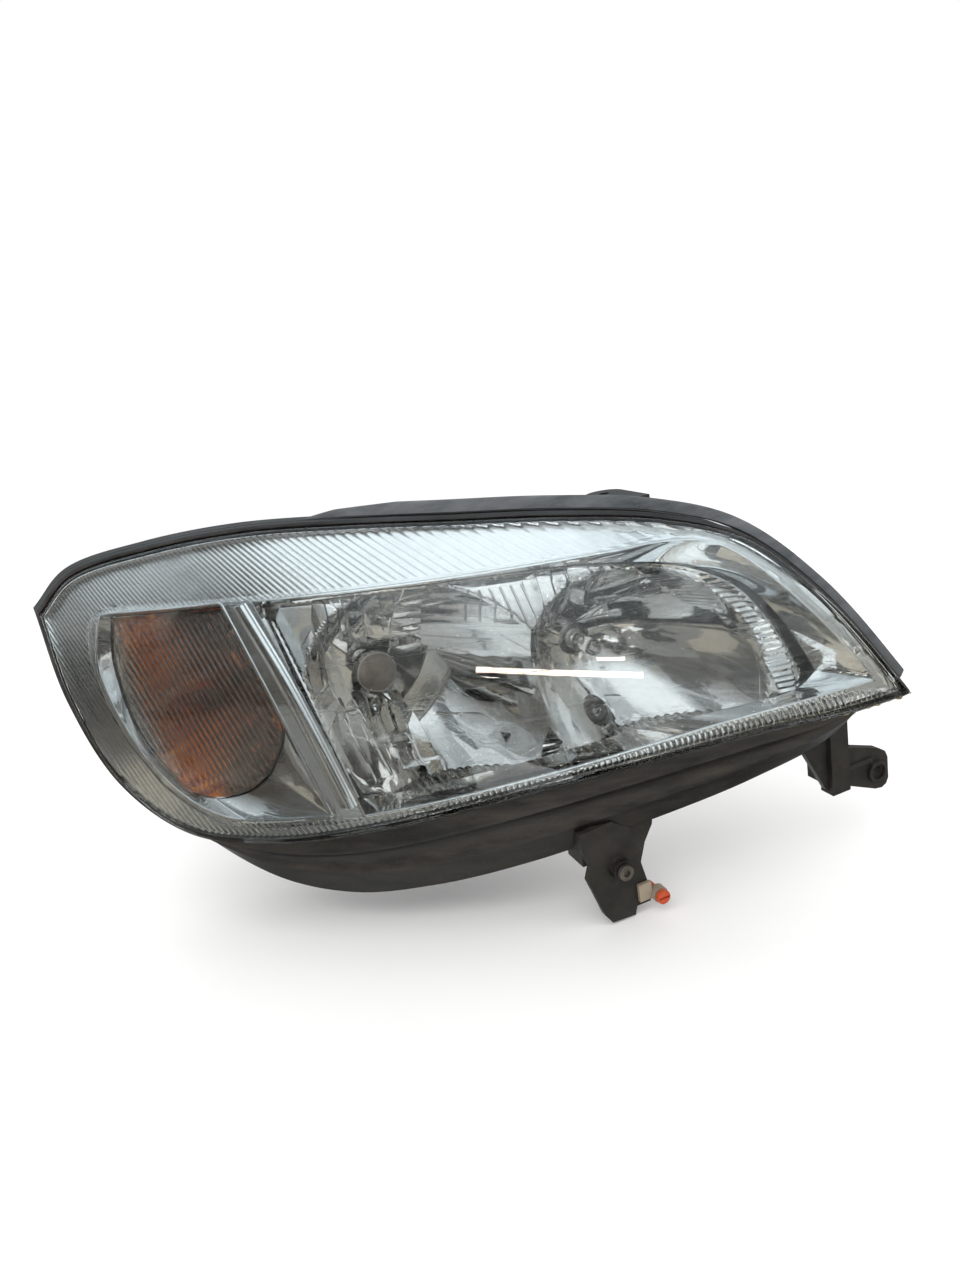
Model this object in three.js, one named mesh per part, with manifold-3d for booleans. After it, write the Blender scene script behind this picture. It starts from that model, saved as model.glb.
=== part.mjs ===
// Car headlight assembly for the car's right-hand front corner, in millimetres.
// +Z is up, the lamp shines along -Y, and +X points at the middle of the car.
// Shapes are laid out in the lens frame, whose zero lies on the lens behind its middle,
// and the exported group moves them so that the origin is on the inner top lug's upper face.
import * as THREE from "three";
import { mergeVertices } from "three/addons/utils/BufferGeometryUtils.js";
import Module from "manifold-3d";

const wasm = await Module();
wasm.setup();

// ---------- driving dimensions ----------
const SWEEP = 0.59; // how fast the lens runs back towards the wing
const SWEEP_CURVE = 0.00089;
const RAKE = 0.5; // how fast it leans back towards the bonnet
const RAKE_CURVE = 0.0015;
const LENS_WALL = 3;
const LENS_SKIRT = 16; // depth of the lens's rim in the housing's channel
const GAP = 0.35; // clearance between pieces that touch
const BEZEL_BACK = 9; // bezel's front face behind the lens's outer face
const BEZEL_WALL = 2;
const FUNNEL_BACK = 25; // rear edge of the bezel's main funnel
const REFLECTOR_BACK = 38; // reflector's front edge, clear of the funnel when it is aimed
const REFLECTOR_WALL = 2.4;
const HOUSING_WALL = 3;
const BELLY_BACK = 47; // where the housing is at its fullest
const REAR_Y = 150; // rear wall: y = REAR_Y - REAR_SLOPE * x
const REAR_SLOPE = 0.62;

const LOW = { x: -49, y: 124, z: -29, focal: 19 }; // vertex of the dipped-beam bowl
const HIGH = { x: 82, y: 42, z: -31, focal: 19 }; // vertex of the main-beam bowl
const BULB_HOLE = 11.5;
const PARKING = { x: 79, z: -77, r: 8.5 };
const PIVOT = { x: 20, y: 110, z: 42 }; // fixed ball of the reflector
const LEVELLER = { x: 20, y: 104, z: -84 }; // ball moved by the levelling motor
const SIDE_AIM = { x: -104, y: 142, z: 24 }; // ball moved by the sideways adjuster
const BALL_R = 5;
const TURN_BULB = { x: -172, z: -45 };
const CLIP_UP = 7; // spring clips lie this far behind a bowl's vertex
const CLIP_LOW = 20; // their hinge bars are this far below the bulb's axis
const LUG = { x: 127, y: 37, z: 60 }; // the origin of the finished part

const lensY = (x, z, back = 0) =>
  -SWEEP * x + SWEEP_CURVE * x * x + RAKE * z + RAKE_CURVE * z * z + back;
const rearY = (x) => REAR_Y - REAR_SLOPE * x;
const REAR_TURN = -Math.atan(REAR_SLOPE); // turn about Z that takes +Y to the rear wall's normal

// ---------- materials ----------
const finish = (color, roughness, metalness) =>
  new THREE.MeshStandardMaterial({ color, roughness, metalness });
const CLEAR = new THREE.MeshStandardMaterial({
  color: 0xdfe8ea,
  roughness: 0.05,
  transparent: true,
  opacity: 0.35,
});
const BLACK_PLASTIC = finish(0x24211f, 0.7, 0);
const GREY_PLASTIC = finish(0x8d8b86, 0.6, 0);
const CHROME = finish(0xd8dadc, 0.08, 1);
const STEEL = finish(0x9a9c9e, 0.35, 1);
const RUBBER = finish(0x2c2e31, 0.85, 0);
const AMBER = finish(0xd0641a, 0.15, 0);
const RED_PLASTIC = finish(0xb8331a, 0.5, 0);
const BEIGE = finish(0xb9a987, 0.6, 0);
const SHIELD_GREY = finish(0x6c6660, 0.6, 0.5);

// ---------- helpers ----------
const lamp = new THREE.Group();
lamp.position.set(-LUG.x, -LUG.y, -LUG.z);

/** Swaps the winding of a closed geometry if its faces point inwards. */
function outward(geometry) {
  const g = mergeVertices(stripped(geometry), 1e-4);
  const p = g.attributes.position;
  const index = g.index.array;
  const [a, b, c] = [0, 1, 2].map(() => new THREE.Vector3());
  let volume = 0;
  for (let i = 0; i < index.length; i += 3) {
    a.fromBufferAttribute(p, index[i]);
    b.fromBufferAttribute(p, index[i + 1]);
    c.fromBufferAttribute(p, index[i + 2]);
    volume += a.dot(b.cross(c));
  }
  if (volume < 0)
    for (let i = 0; i < index.length; i += 3)
      [index[i + 1], index[i + 2]] = [index[i + 2], index[i + 1]];
  return g;
}

/** Position-only, non-indexed copy of a geometry. */
function stripped(geometry) {
  const g = geometry.index ? geometry.toNonIndexed() : geometry.clone();
  return new THREE.BufferGeometry().setAttribute("position", g.attributes.position);
}

/** A geometry as a manifold-3d solid. */
function solid(geometry) {
  const g = outward(geometry);
  return new wasm.Manifold(
    new wasm.Mesh({
      numProp: 3,
      vertProperties: new Float32Array(g.attributes.position.array),
      triVerts: new Uint32Array(g.index.array),
    }),
  );
}

/** A manifold-3d solid as a geometry with flat normals. */
function geometryOf(body) {
  const mesh = body.getMesh();
  const g = new THREE.BufferGeometry();
  g.setAttribute("position", new THREE.BufferAttribute(mesh.vertProperties, 3));
  g.setIndex(new THREE.BufferAttribute(mesh.triVerts, 1));
  return g;
}

const joined = (...solids) => solids.reduce((sum, s) => sum.add(s));
const cut = (body, ...tools) => tools.reduce((rest, t) => rest.subtract(t), body);

/** Adds a named mesh to the lamp. shape is a geometry or a manifold-3d solid. */
function piece(name, shape, material, parent = lamp) {
  const geometry = shape.isBufferGeometry ? outward(shape) : geometryOf(shape);
  geometry.computeVertexNormals();
  const mesh = new THREE.Mesh(geometry, material);
  mesh.name = name;
  parent.add(mesh);
  return mesh;
}

/** Closed outline in x and z: open splines joined end to end, each [points, samples]. */
function outline(...spans) {
  const found = [];
  for (const [points, samples] of spans) {
    const curve = new THREE.CatmullRomCurve3(
      points.map(([x, z]) => new THREE.Vector3(x, 0, z)),
      false,
      "centripetal",
    );
    found.push(...curve.getSpacedPoints(samples).slice(0, -1));
  }
  return found.map((p) => new THREE.Vector2(p.x, p.z));
}

/** The outline moved outwards by d (inwards if negative), with mitred corners. */
function grown(points, d) {
  const n = points.length;
  const area = THREE.ShapeUtils.area(points);
  const side = area > 0 ? 1 : -1;
  return points.map((p, i) => {
    const before = p.clone().sub(points[(i + n - 1) % n]).normalize();
    const after = points[(i + 1) % n].clone().sub(p).normalize();
    const normal = new THREE.Vector2(before.y + after.y, -before.x - after.x).normalize();
    const mitre = Math.max(0.6, normal.dot(new THREE.Vector2(after.y, -after.x)));
    return p.clone().addScaledVector(normal, (side * d) / mitre);
  });
}

const mixed = (a, b, t) => a.map((p, i) => p.clone().lerp(b[i], t));
const onLens = (points, back) =>
  points.map((p) => new THREE.Vector3(p.x, lensY(p.x, p.y, back), p.y));
const onRear = (points, shift = 0) =>
  points.map((p) => new THREE.Vector3(p.x, rearY(p.x) + shift, p.y));
const middle = (ring) =>
  ring.reduce((sum, p) => sum.add(p), new THREE.Vector3()).divideScalar(ring.length);

/** Closed skin over rings of equal length. It ends in fans, or closes on itself with loop. */
function skin(rings, { loop = false, start = null, end = null } = {}) {
  const n = rings[0].length;
  const points = rings.flat();
  const faces = [];
  const last = loop ? rings.length : rings.length - 1;
  for (let r = 0; r < last; r++) {
    const [a, b] = [r * n, ((r + 1) % rings.length) * n];
    for (let i = 0; i < n; i++) {
      const j = (i + 1) % n;
      faces.push(a + i, a + j, b + j, a + i, b + j, b + i);
    }
  }
  if (!loop) {
    const [first, final] = [points.length, points.length + 1];
    points.push(start ?? middle(rings[0]), end ?? middle(rings.at(-1)));
    const base = (rings.length - 1) * n;
    for (let i = 0; i < n; i++) {
      const j = (i + 1) % n;
      faces.push(first, j, i, final, base + i, base + j);
    }
  }
  const g = new THREE.BufferGeometry().setFromPoints(points);
  g.setIndex(faces);
  return g;
}

/** Right prism over an outline, from y0 to y1. */
const prism = (points, y0, y1) =>
  skin([y0, y1].map((y) => points.map((p) => new THREE.Vector3(p.x, y, p.y))));

/** Domed sheet over an outline, between two depths behind the lens's face. */
function sheet(points, front, back, shares = [0.45, 0.78]) {
  const centre = points
    .reduce((sum, p) => sum.add(p), new THREE.Vector2())
    .divideScalar(points.length);
  const ringAt = (share) => points.map((p) => centre.clone().lerp(p, share));
  const all = [...shares, 1];
  return skin(
    [
      ...all.map((s) => onLens(ringAt(s), front)),
      ...all.reverse().map((s) => onLens(ringAt(s), back)),
    ],
    { start: onLens([centre], front)[0], end: onLens([centre], back)[0] },
  );
}

/** Turned shape about Y, at x and z: profile points are [radius, y] and close on the axis. */
function turned(profile, x, z, segments = 24) {
  const points = profile.map(([r, y]) => new THREE.Vector2(r, y));
  return new THREE.LatheGeometry(points, segments).translate(x, 0, z);
}
const rod = (r, y0, y1, x, z, segments = 16) =>
  turned([[0, y0], [r, y0], [r, y1], [0, y1]], x, z, segments);
const tube = (inner, outer, y0, y1, x, z, segments = 24) =>
  turned(
    [[inner, y0], [outer, y0], [outer, y1], [inner, y1], [inner, y0]],
    x,
    z,
    segments,
  );
const block = (x0, x1, y0, y1, z0, z1) =>
  new THREE.BoxGeometry(x1 - x0, y1 - y0, z1 - z0).translate(
    (x0 + x1) / 2,
    (y0 + y1) / 2,
    (z0 + z1) / 2,
  );

/** Round or flat bar of the given section swept along points, with closed ends. */
function swept(points, section, steps, tension = "centripetal") {
  const path = new THREE.CatmullRomCurve3(
    points.map((p) => new THREE.Vector3(...p)),
    false,
    tension,
  );
  return new THREE.ExtrudeGeometry(new THREE.Shape(section), {
    steps,
    extrudePath: path,
    bevelEnabled: false,
  });
}
function polygon(radiusX, radiusY, sides) {
  return Array.from({ length: sides }, (_, i) => {
    const t = ((i + 0.5) / sides) * 2 * Math.PI;
    return new THREE.Vector2(radiusX * Math.cos(t), radiusY * Math.sin(t));
  });
}

// ---------- outlines, seen from the front ----------
const LENS = outline(
  [[[-254, 36], [-226, 60], [-170, 73], [-110, 78], [-50, 75], [10, 69], [70, 62], [125, 51],
    [165, 33], [196, -5], [231, -73]], 22],
  [[[231, -73], [190, -76], [130, -78], [60, -86], [-10, -98], [-80, -113], [-145, -122],
    [-195, -116], [-229, -84], [-249, -25], [-254, 36]], 22],
);
const BELLY = outline(
  [[[-254, 30], [-228, 50], [-170, 62], [-110, 67], [-50, 66], [10, 63], [70, 57], [125, 47],
    [168, 28], [202, -10], [240, -84]], 22],
  [[[240, -84], [205, -108], [150, -125], [80, -143], [10, -163], [-50, -177], [-100, -182],
    [-145, -170], [-195, -128], [-238, -70], [-254, 30]], 22],
);
const REAR = BELLY.map((p) => {
  const share = p.y > -45 ? 0.9 : 0.74;
  return new THREE.Vector2(p.x * 0.81 - 4, (p.y + 45) * share - 41);
});
const MAIN_WINDOW = outline(
  [[[-116, 34], [-13, 35], [86, 37], [126, 37], [148, 32], [164, 19], [184, -9], [199, -34],
    [213, -62]], 15],
  [[[213, -62], [157, -66], [113, -70], [29, -84], [-57, -100], [-88, -105]], 10],
  [[[-88, -105], [-116, 34]], 4],
);
const FUNNEL = outline(
  [[[-111, 29], [-60, 31], [0, 31], [56, 31], [100, 27], [140, 18], [165, 2], [180, -24],
    [190, -56]], 15],
  [[[190, -56], [176, -64], [130, -68], [79, -72], [24, -81], [-14, -88], [-90, -102]], 10],
  [[[-90, -102], [-111, 29]], 4],
);
const REFLECTOR = outline(
  [[[-111, 29], [-60, 31], [0, 31], [56, 31], [100, 27], [140, 18], [165, 2], [180, -24],
    [190, -58]], 14],
  [[[190, -58], [181, -74], [130, -86], [79, -92], [24, -98], [-14, -103], [-88, -109]], 11],
  [[[-88, -109], [-111, 29]], 4],
);
const TURN_WINDOW = outline(
  [[[-213, 33], [-136, 35]], 4],
  [[[-136, 35], [-108, -104]], 6],
  [[[-108, -104], [-141, -107], [-166, -106], [-187, -95], [-208, -66], [-219, -35], [-223, -2],
    [-213, 33]], 14],
);
const TURN_POCKET = outline(
  [[[-206, 29], [-134, 30]], 4],
  [[[-134, 30], [-122, -25], [-120, -54], [-134, -80]], 6],
  [[[-134, -80], [-150, -92], [-172, -97], [-186, -92], [-198, -76], [-208, -54], [-213, -28],
    [-213, 2], [-206, 29]], 14],
);

// ---------- front lens and its seal ----------
function frontLens() {
  const centre = new THREE.Vector2(-10, -20);
  const at = (points, share) => points.map((p) => centre.clone().lerp(p, share));
  const inner = grown(LENS, -LENS_WALL);
  return skin(
    [
      ...[0.3, 0.6, 0.85].map((s) => onLens(at(LENS, s), 0)),
      onLens(grown(LENS, -2), 0),
      onLens(LENS, 3),
      onLens(LENS, LENS_SKIRT),
      onLens(inner, LENS_SKIRT),
      onLens(grown(LENS, -5), LENS_WALL),
      ...[0.85, 0.6, 0.3].map((s) => onLens(at(LENS, s), LENS_WALL)),
    ],
    { start: onLens([centre], 0)[0], end: onLens([centre], LENS_WALL)[0] },
  );
}
const band = (inner, outer, front, back) =>
  skin([onLens(inner, front), onLens(outer, front), onLens(outer, back), onLens(inner, back)], {
    loop: true,
  });
piece("front_lens", frontLens(), CLEAR);
piece(
  "lens_seal",
  band(grown(LENS, -4.2), grown(LENS, 0.2), LENS_SKIRT + GAP, LENS_SKIRT + 3.6),
  RUBBER,
);

// ---------- housing ----------
const MOTOR_BACK = 157.4; // front face of the levelling motor's case
const LOW_DOOR = { x: LOW.x, z: LOW.z, r: 40 };
const HIGH_DOOR = { x: HIGH.x, z: HIGH.z, r: 34 };
const COLLAR = 14; // how far a door's collar stands out of the rear wall
const COLLAR_WALL = 2.6;

/** Places a geometry turned about Y onto the rear wall, along its normal. */
const onRearWall = (geometry, x, z) =>
  geometry.rotateZ(REAR_TURN).translate(x, rearY(x), z);

const LUG_HOLE_Y = LUG.y + 13;
const LEDGE = LENS_SKIRT + 4; // the channel's floor, under the lens's seal
const OUTSIDE = [
  onLens(grown(LENS, 3.2), 7),
  onLens(grown(LENS, 3.8), LEDGE + 5),
  onLens(mixed(grown(LENS, 5), BELLY, 0.3), LEDGE + 8),
  onLens(mixed(grown(LENS, 5), BELLY, 0.5), LEDGE + 17),
  onLens(mixed(grown(LENS, 5), BELLY, 0.74), LEDGE + 19),
  onLens(BELLY, BELLY_BACK),
  onRear(REAR),
];
/** The housing's outer form without its hollow, a little low: what hangs under it is cut by this. */
const UNDERCUT = solid(skin(OUTSIDE).translate(0, 0, -GAP));

function housing() {
  const shell = skin(
    [
      onRear(grown(REAR, -HOUSING_WALL), -HOUSING_WALL),
      onLens(grown(BELLY, -HOUSING_WALL), BELLY_BACK - 1),
      onLens(grown(LENS, -4.6), LEDGE + 3.5),
      onLens(grown(LENS, -4.6), LEDGE),
      onLens(grown(LENS, 0.6), LEDGE),
      onLens(grown(LENS, 0.6), 7),
      ...OUTSIDE,
    ],
    { start: onRear([new THREE.Vector2(-10, -50)], -HOUSING_WALL)[0],
      end: onRear([new THREE.Vector2(-10, -50)])[0] },
  );
  const { x: turnX, z: turnZ } = TURN_BULB;
  const wellBack = rearY(turnX) + 6;
  const bosses = [
    [onRearWall(rod(LOW_DOOR.r + COLLAR_WALL, -2.5, COLLAR, 0, 0, 24), LOW_DOOR.x, LOW_DOOR.z),
      onRearWall(rod(LOW_DOOR.r, -8, COLLAR + 1, 0, 0, 24), LOW_DOOR.x, LOW_DOOR.z)],
    [onRearWall(rod(HIGH_DOOR.r + COLLAR_WALL, -2.5, COLLAR, 0, 0, 24), HIGH_DOOR.x, HIGH_DOOR.z),
      onRearWall(rod(HIGH_DOOR.r, -8, COLLAR + 1, 0, 0, 24), HIGH_DOOR.x, HIGH_DOOR.z)],
    [rod(25, 212, wellBack, turnX, turnZ, 18), rod(22, 205, wellBack + 20, turnX, turnZ, 18)],
    [rod(23, 128, MOTOR_BACK - 3.8, LEVELLER.x, LEVELLER.z, 18),
      rod(18, 100, 170, LEVELLER.x, LEVELLER.z, 18)],
    ...[PIVOT, SIDE_AIM].map(({ x, z }) => [
      rod(9, rearY(x) - 8, rearY(x) + 8, x, z, 12), rod(4.4, rearY(x) - 30, rearY(x) + 30, x, z, 12),
    ]),
    ...VENTS.map(({ x, z }) => [
      onRearWall(rod(5, -2.5, 10, 0, 0, 12), x, z), onRearWall(rod(3, -10, 11, 0, 0, 12), x, z),
    ]),
  ];
  let body = joined(solid(shell), ...bosses.map(([boss]) => solid(boss)));
  body = cut(body, ...bosses.map(([, bore]) => solid(bore)));
  // top lug, whose upper face holds the origin
  const lug = joined(
    solid(block(LUG.x - 14, LUG.x + 14, 14, LUG_HOLE_Y, LUG.z - 5, LUG.z)),
    solid(rod(14, 0, 5, 0, 0, 20).rotateX(Math.PI / 2).translate(LUG.x, LUG_HOLE_Y, LUG.z - 5)),
    solid(block(LUG.x - 13, LUG.x + 13, 14.5, 18, 43, LUG.z - 1)),
    solid(block(LUG.x - 2, LUG.x + 2, 15, 44, 37, LUG.z - 1)),
  );
  const lugHole = rod(3.6, -10, 10, 0, 0, 16).rotateX(Math.PI / 2);
  body = cut(joined(body, lug), solid(lugHole.translate(LUG.x, LUG_HOLE_Y, LUG.z)));
  return body;
}
const VENTS = [{ x: 140, z: 0 }, { x: -120, z: -105 }];
piece("housing", housing(), BLACK_PLASTIC);

// ---------- bezel ----------
function bezel() {
  const face = solid(sheet(grown(LENS, -8.5), BEZEL_BACK, BEZEL_BACK + BEZEL_WALL, [0.62]));
  const far = 400;
  const open = cut(
    face,
    solid(prism(MAIN_WINDOW, -far, far)),
    solid(prism(TURN_WINDOW, -far, far)),
  );
  const funnel = (front, rear, back) =>
    solid(
      skin(
        [
          onLens(front, BEZEL_BACK + 0.2),
          onLens(rear, back),
          onLens(grown(rear, BEZEL_WALL), back),
          onLens(grown(front, BEZEL_WALL), BEZEL_BACK + 0.2),
        ],
        { loop: true },
      ),
    );
  return joined(
    open,
    funnel(MAIN_WINDOW, FUNNEL, FUNNEL_BACK),
    funnel(TURN_WINDOW, TURN_POCKET, BEZEL_BACK + 11),
  );
}
piece("bezel", bezel(), CHROME);

// ---------- turn signal ----------
const POCKET_FRONT = BEZEL_BACK + 15;
const POCKET_Y = 204; // rear wall of the turn-signal reflector
function turnReflector() {
  const deep = mixed(TURN_POCKET, TURN_POCKET.map(() => new THREE.Vector2(-172, -40)), 0.42);
  const flat = (points, y) => points.map((p) => new THREE.Vector3(p.x, y, p.y));
  const shell = skin([
    flat(grown(deep, -2), POCKET_Y - 2),
    onLens(grown(TURN_POCKET, -1.5), POCKET_FRONT + 24),
    onLens(grown(TURN_POCKET, -0.5), POCKET_FRONT),
    onLens(grown(TURN_POCKET, 1.5), POCKET_FRONT),
    onLens(grown(TURN_POCKET, 0.5), POCKET_FRONT + 24),
    flat(deep, POCKET_Y),
  ]);
  return cut(
    joined(solid(shell), solid(rod(16, POCKET_Y - 1, POCKET_Y + 7, TURN_BULB.x, TURN_BULB.z, 18))),
    solid(rod(12.5, POCKET_Y - 10, POCKET_Y + 10, TURN_BULB.x, TURN_BULB.z, 18)),
  );
}
piece("turn_signal_reflector", turnReflector(), CHROME);
piece(
  "turn_signal_diffuser",
  sheet(grown(TURN_POCKET, -0.4), BEZEL_BACK + 11 + GAP, BEZEL_BACK + 13.5, [0.5]),
  CLEAR,
);
piece(
  "turn_signal_bulb",
  turned(
    [[0, 158], [6, 159.5], [11, 164], [12.2, 171], [10, 181], [7.4, 188], [7.4, 200], [0, 200]],
    TURN_BULB.x,
    TURN_BULB.z,
    16,
  ),
  AMBER,
);
function turnHolder() {
  const { x, z } = TURN_BULB;
  const body = solid(
    turned(
      [[0, 200.4], [11.6, 200.4], [11.6, 211.8], [20, 211.8], [20, 216], [14, 216], [12, 246],
        [9, 246], [9, 238], [0, 238]],
      x,
      z,
      20,
    ),
  );
  const wings = [0, 1].map((k) =>
    solid(block(-16, 16, 219, 240, -2, 2).rotateY(0.4 + k * 1.57).translate(x, 0, z)),
  );
  return joined(body, ...wings);
}
piece("turn_signal_bulb_holder", turnHolder(), GREY_PLASTIC);
piece("turn_signal_holder_seal", tube(17, 21, 216.4, 218.6, TURN_BULB.x, TURN_BULB.z, 18), RUBBER);

// ---------- main reflector ----------
/** Solid in front of a paraboloid bowl that shines along -Y, moved outwards by wall. */
function bowl({ x, y, z, focal }, wall) {
  const profile = [[0, y + wall]];
  for (const r of [16, 32, 50, 72, 100]) {
    const slope = (2 * r) / (4 * focal);
    const tilt = Math.hypot(1, slope);
    profile.push([r + (wall * slope) / tilt, y - (r * r) / (4 * focal) + wall / tilt]);
  }
  profile.push([0, profile.at(-1)[1]]);
  return solid(turned(profile, x, z, 24));
}

/** Everything behind the surface that lies back behind the lens's face. */
function behind(back) {
  const [x0, x1, z0, z1, cells, bands] = [-130, 210, -125, 60, 9, 4];
  const surface = new THREE.PlaneGeometry(1, 1, cells, bands);
  const p = surface.attributes.position;
  for (let i = 0; i < p.count; i++) {
    const x = x0 + (p.getX(i) + 0.5) * (x1 - x0);
    const z = z0 + (p.getY(i) + 0.5) * (z1 - z0);
    p.setXYZ(i, x, lensY(x, z, back), z);
  }
  const border = [];
  const columns = cells + 1;
  for (let i = 0; i < cells; i++) border.push(i);
  for (let j = 0; j < bands; j++) border.push(j * columns + cells);
  for (let i = cells; i > 0; i--) border.push(bands * columns + i);
  for (let j = bands; j > 0; j--) border.push(j * columns);
  const points = [];
  for (let i = 0; i < p.count; i++) points.push(new THREE.Vector3().fromBufferAttribute(p, i));
  const faces = Array.from(surface.index.array);
  const rear = points.length;
  border.forEach((b) => points.push(points[b].clone().setY(260)));
  const centre = points.length;
  points.push(new THREE.Vector3((x0 + x1) / 2, 260, (z0 + z1) / 2));
  border.forEach((b, i) => {
    const j = (i + 1) % border.length;
    faces.push(b, border[j], rear + j, b, rear + j, rear + i);
    faces.push(rear + i, rear + j, centre);
  });
  const g = new THREE.BufferGeometry().setFromPoints(points);
  g.setIndex(faces);
  return solid(g);
}

/** Socket around one of the mechanism's balls, open at the back, on an arm from y0. */
function socket({ x, y, z }, y0, bore, depth) {
  const arm = block(x - 5, x + 5, y0, y - depth, z - 5, z + 5);
  const cup = rod(bore + 2.2, y - depth - 2, y + 3, x, z, 14);
  return cut(joined(solid(arm), solid(cup)), solid(rod(bore, y - depth, y + 10, x, z, 14)));
}

/** Ears for a spring clip's hinge bar and a post for its free end, behind a bulb hole. */
function clipSeat({ x, y, z }) {
  const bar = tube(1.3, 3, -4, 4, 0, 0, 10).rotateZ(Math.PI / 2);
  const ear = bar.translate(x, y + CLIP_UP, z - CLIP_LOW);
  return joined(
    solid(ear),
    solid(block(x - 4, x + 4, y + 1, y + CLIP_UP - 2, z - CLIP_LOW - 2, z - 16)),
    solid(block(x - 3, x + 3, y + 1, y + CLIP_UP + 3, z + 15.5, z + 18.6)),
  );
}

function reflector() {
  const inside = joined(bowl(LOW, 0), bowl(HIGH, 0));
  const outside = joined(bowl(LOW, REFLECTOR_WALL), bowl(HIGH, REFLECTOR_WALL));
  const rear = behind(REFLECTOR_BACK);
  const plan = solid(prism(REFLECTOR, -200, 240));
  const planInner = solid(prism(grown(REFLECTOR, -REFLECTOR_WALL), -200, 240));
  const plate = plan.intersect(rear).subtract(behind(REFLECTOR_BACK + REFLECTOR_WALL));
  const cavity = inside.intersect(planInner);
  let body = outside.intersect(plan).intersect(rear).add(plate).subtract(cavity);
  for (const b of [LOW, HIGH]) {
    const seat = b.y + REFLECTOR_WALL + 1;
    body = joined(body, solid(rod(18, b.y - 3, seat, b.x, b.z, 20)));
    body = cut(body, inside.intersect(solid(rod(30, b.y - 60, b.y + 1, b.x, b.z, 20))));
    body = cut(body, solid(rod(BULB_HOLE, b.y - 12, b.y + 12, b.x, b.z, 20)));
  }
  body = joined(
    body,
    solid(rod(PARKING.r + 3, 12, 32, PARKING.x, PARKING.z, 16)).subtract(inside),
  );
  body = cut(body, solid(rod(PARKING.r, -40, 40, PARKING.x, PARKING.z, 16)));
  const flange = lensY(PIVOT.x, 28, REFLECTOR_BACK) + 1;
  return joined(
    body,
    socket(PIVOT, flange, BALL_R + 3.4, 8.6),
    solid(block(PIVOT.x - 5, PIVOT.x + 5, flange, flange + 16, 27, PIVOT.z + 5)),
    socket(LEVELLER, 25, BALL_R + 0.9, 6.2),
    socket(SIDE_AIM, lensY(SIDE_AIM.x, SIDE_AIM.z, REFLECTOR_BACK) + 1, BALL_R + 2, 6.2),
    clipSeat(LOW),
    clipSeat(HIGH),
  );
}
piece("reflector", reflector(), CHROME);

// ---------- lamp bulbs, clips and plugs ----------
const CLIP_FRAME = [
  [-6, -20], [6, -20], [11, -14], [11.5, 8], [8, 20], [-8, 20], [-11.5, 8], [-11, -14],
].map(([x, z]) => new THREE.Vector2(x, z));

for (const [beam, vertex] of [["low", LOW], ["high", HIGH]]) {
  const seat = new THREE.Group(); // its zero is the bowl's vertex
  seat.position.set(vertex.x, vertex.y, vertex.z);
  lamp.add(seat);
  piece(
    `${beam}_beam_bulb`,
    turned([[0, -38], [3, -37.4], [5.6, -34], [5.9, -12], [4.6, -6.4], [0, -6.4]], 0, 0, 14),
    CLEAR,
    seat,
  );
  piece(
    `${beam}_beam_bulb_base`,
    turned([[0, -6], [7.4, -6], [7.4, -2], [10.9, -2], [10.9, 3.8], [14.6, 3.8], [14.6, 5.5],
      [8, 5.5], [8, 13], [0, 13]], 0, 0, 16),
    STEEL,
    seat,
  );
  const at = (points, level) => points.map((p) => new THREE.Vector3(p.x, CLIP_UP + level, p.y));
  const [inside, outside] = [grown(CLIP_FRAME, -0.8), grown(CLIP_FRAME, 0.8)];
  piece(
    `${beam}_beam_spring_clip`,
    skin([at(inside, -0.8), at(outside, -0.8), at(outside, 0.8), at(inside, 0.8)], { loop: true }),
    STEEL,
    seat,
  );
  const plug = joined(
    solid(block(-7.6, 7.6, 13.4, 29, -7, 7)),
    solid(block(-4, 4, 28, 31, -5, 3)),
    solid(block(-2.5, 2.5, 16, 28, 6.5, 8.6)),
  );
  piece(`${beam}_beam_plug`, plug, BLACK_PLASTIC, seat);
}

function glareShield() {
  const { x, y, z } = LOW;
  const cap = turned([[0, y - 46], [13, y - 45], [14.4, y - 42], [14.4, y - 33], [13.2, y - 33],
    [13.2, y - 41.5], [0, y - 44]], x, z, 20);
  const strut = swept(
    [[x, y - 36, z - 13.9], [x, y - 20, z - 15.5], [x, y - 4.9, z - 15.5]],
    polygon(2, 0.9, 4),
    4,
  );
  return joined(solid(cap), solid(strut));
}
piece("low_beam_glare_shield", glareShield(), SHIELD_GREY);

// ---------- parking lamp ----------
piece(
  "parking_bulb",
  turned([[0, 12], [3, 12.8], [4.8, 16], [4.8, 27], [0, 27]], PARKING.x, PARKING.z, 12),
  CLEAR,
);
function parkingHolder() {
  const { x, z, r } = PARKING;
  const body = turned([[0, 27.4], [r - 0.5, 27.4], [r - 0.5, 32.4], [r + 4, 32.4], [r + 4, 36],
    [6, 36.5], [6, 46], [0, 46]], x, z, 16);
  const grip = block(x - 9, x + 9, 36, 44, z - 1.5, z + 1.5);
  return joined(solid(body), solid(grip));
}
piece("parking_bulb_holder", parkingHolder(), GREY_PLASTIC);

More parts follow.
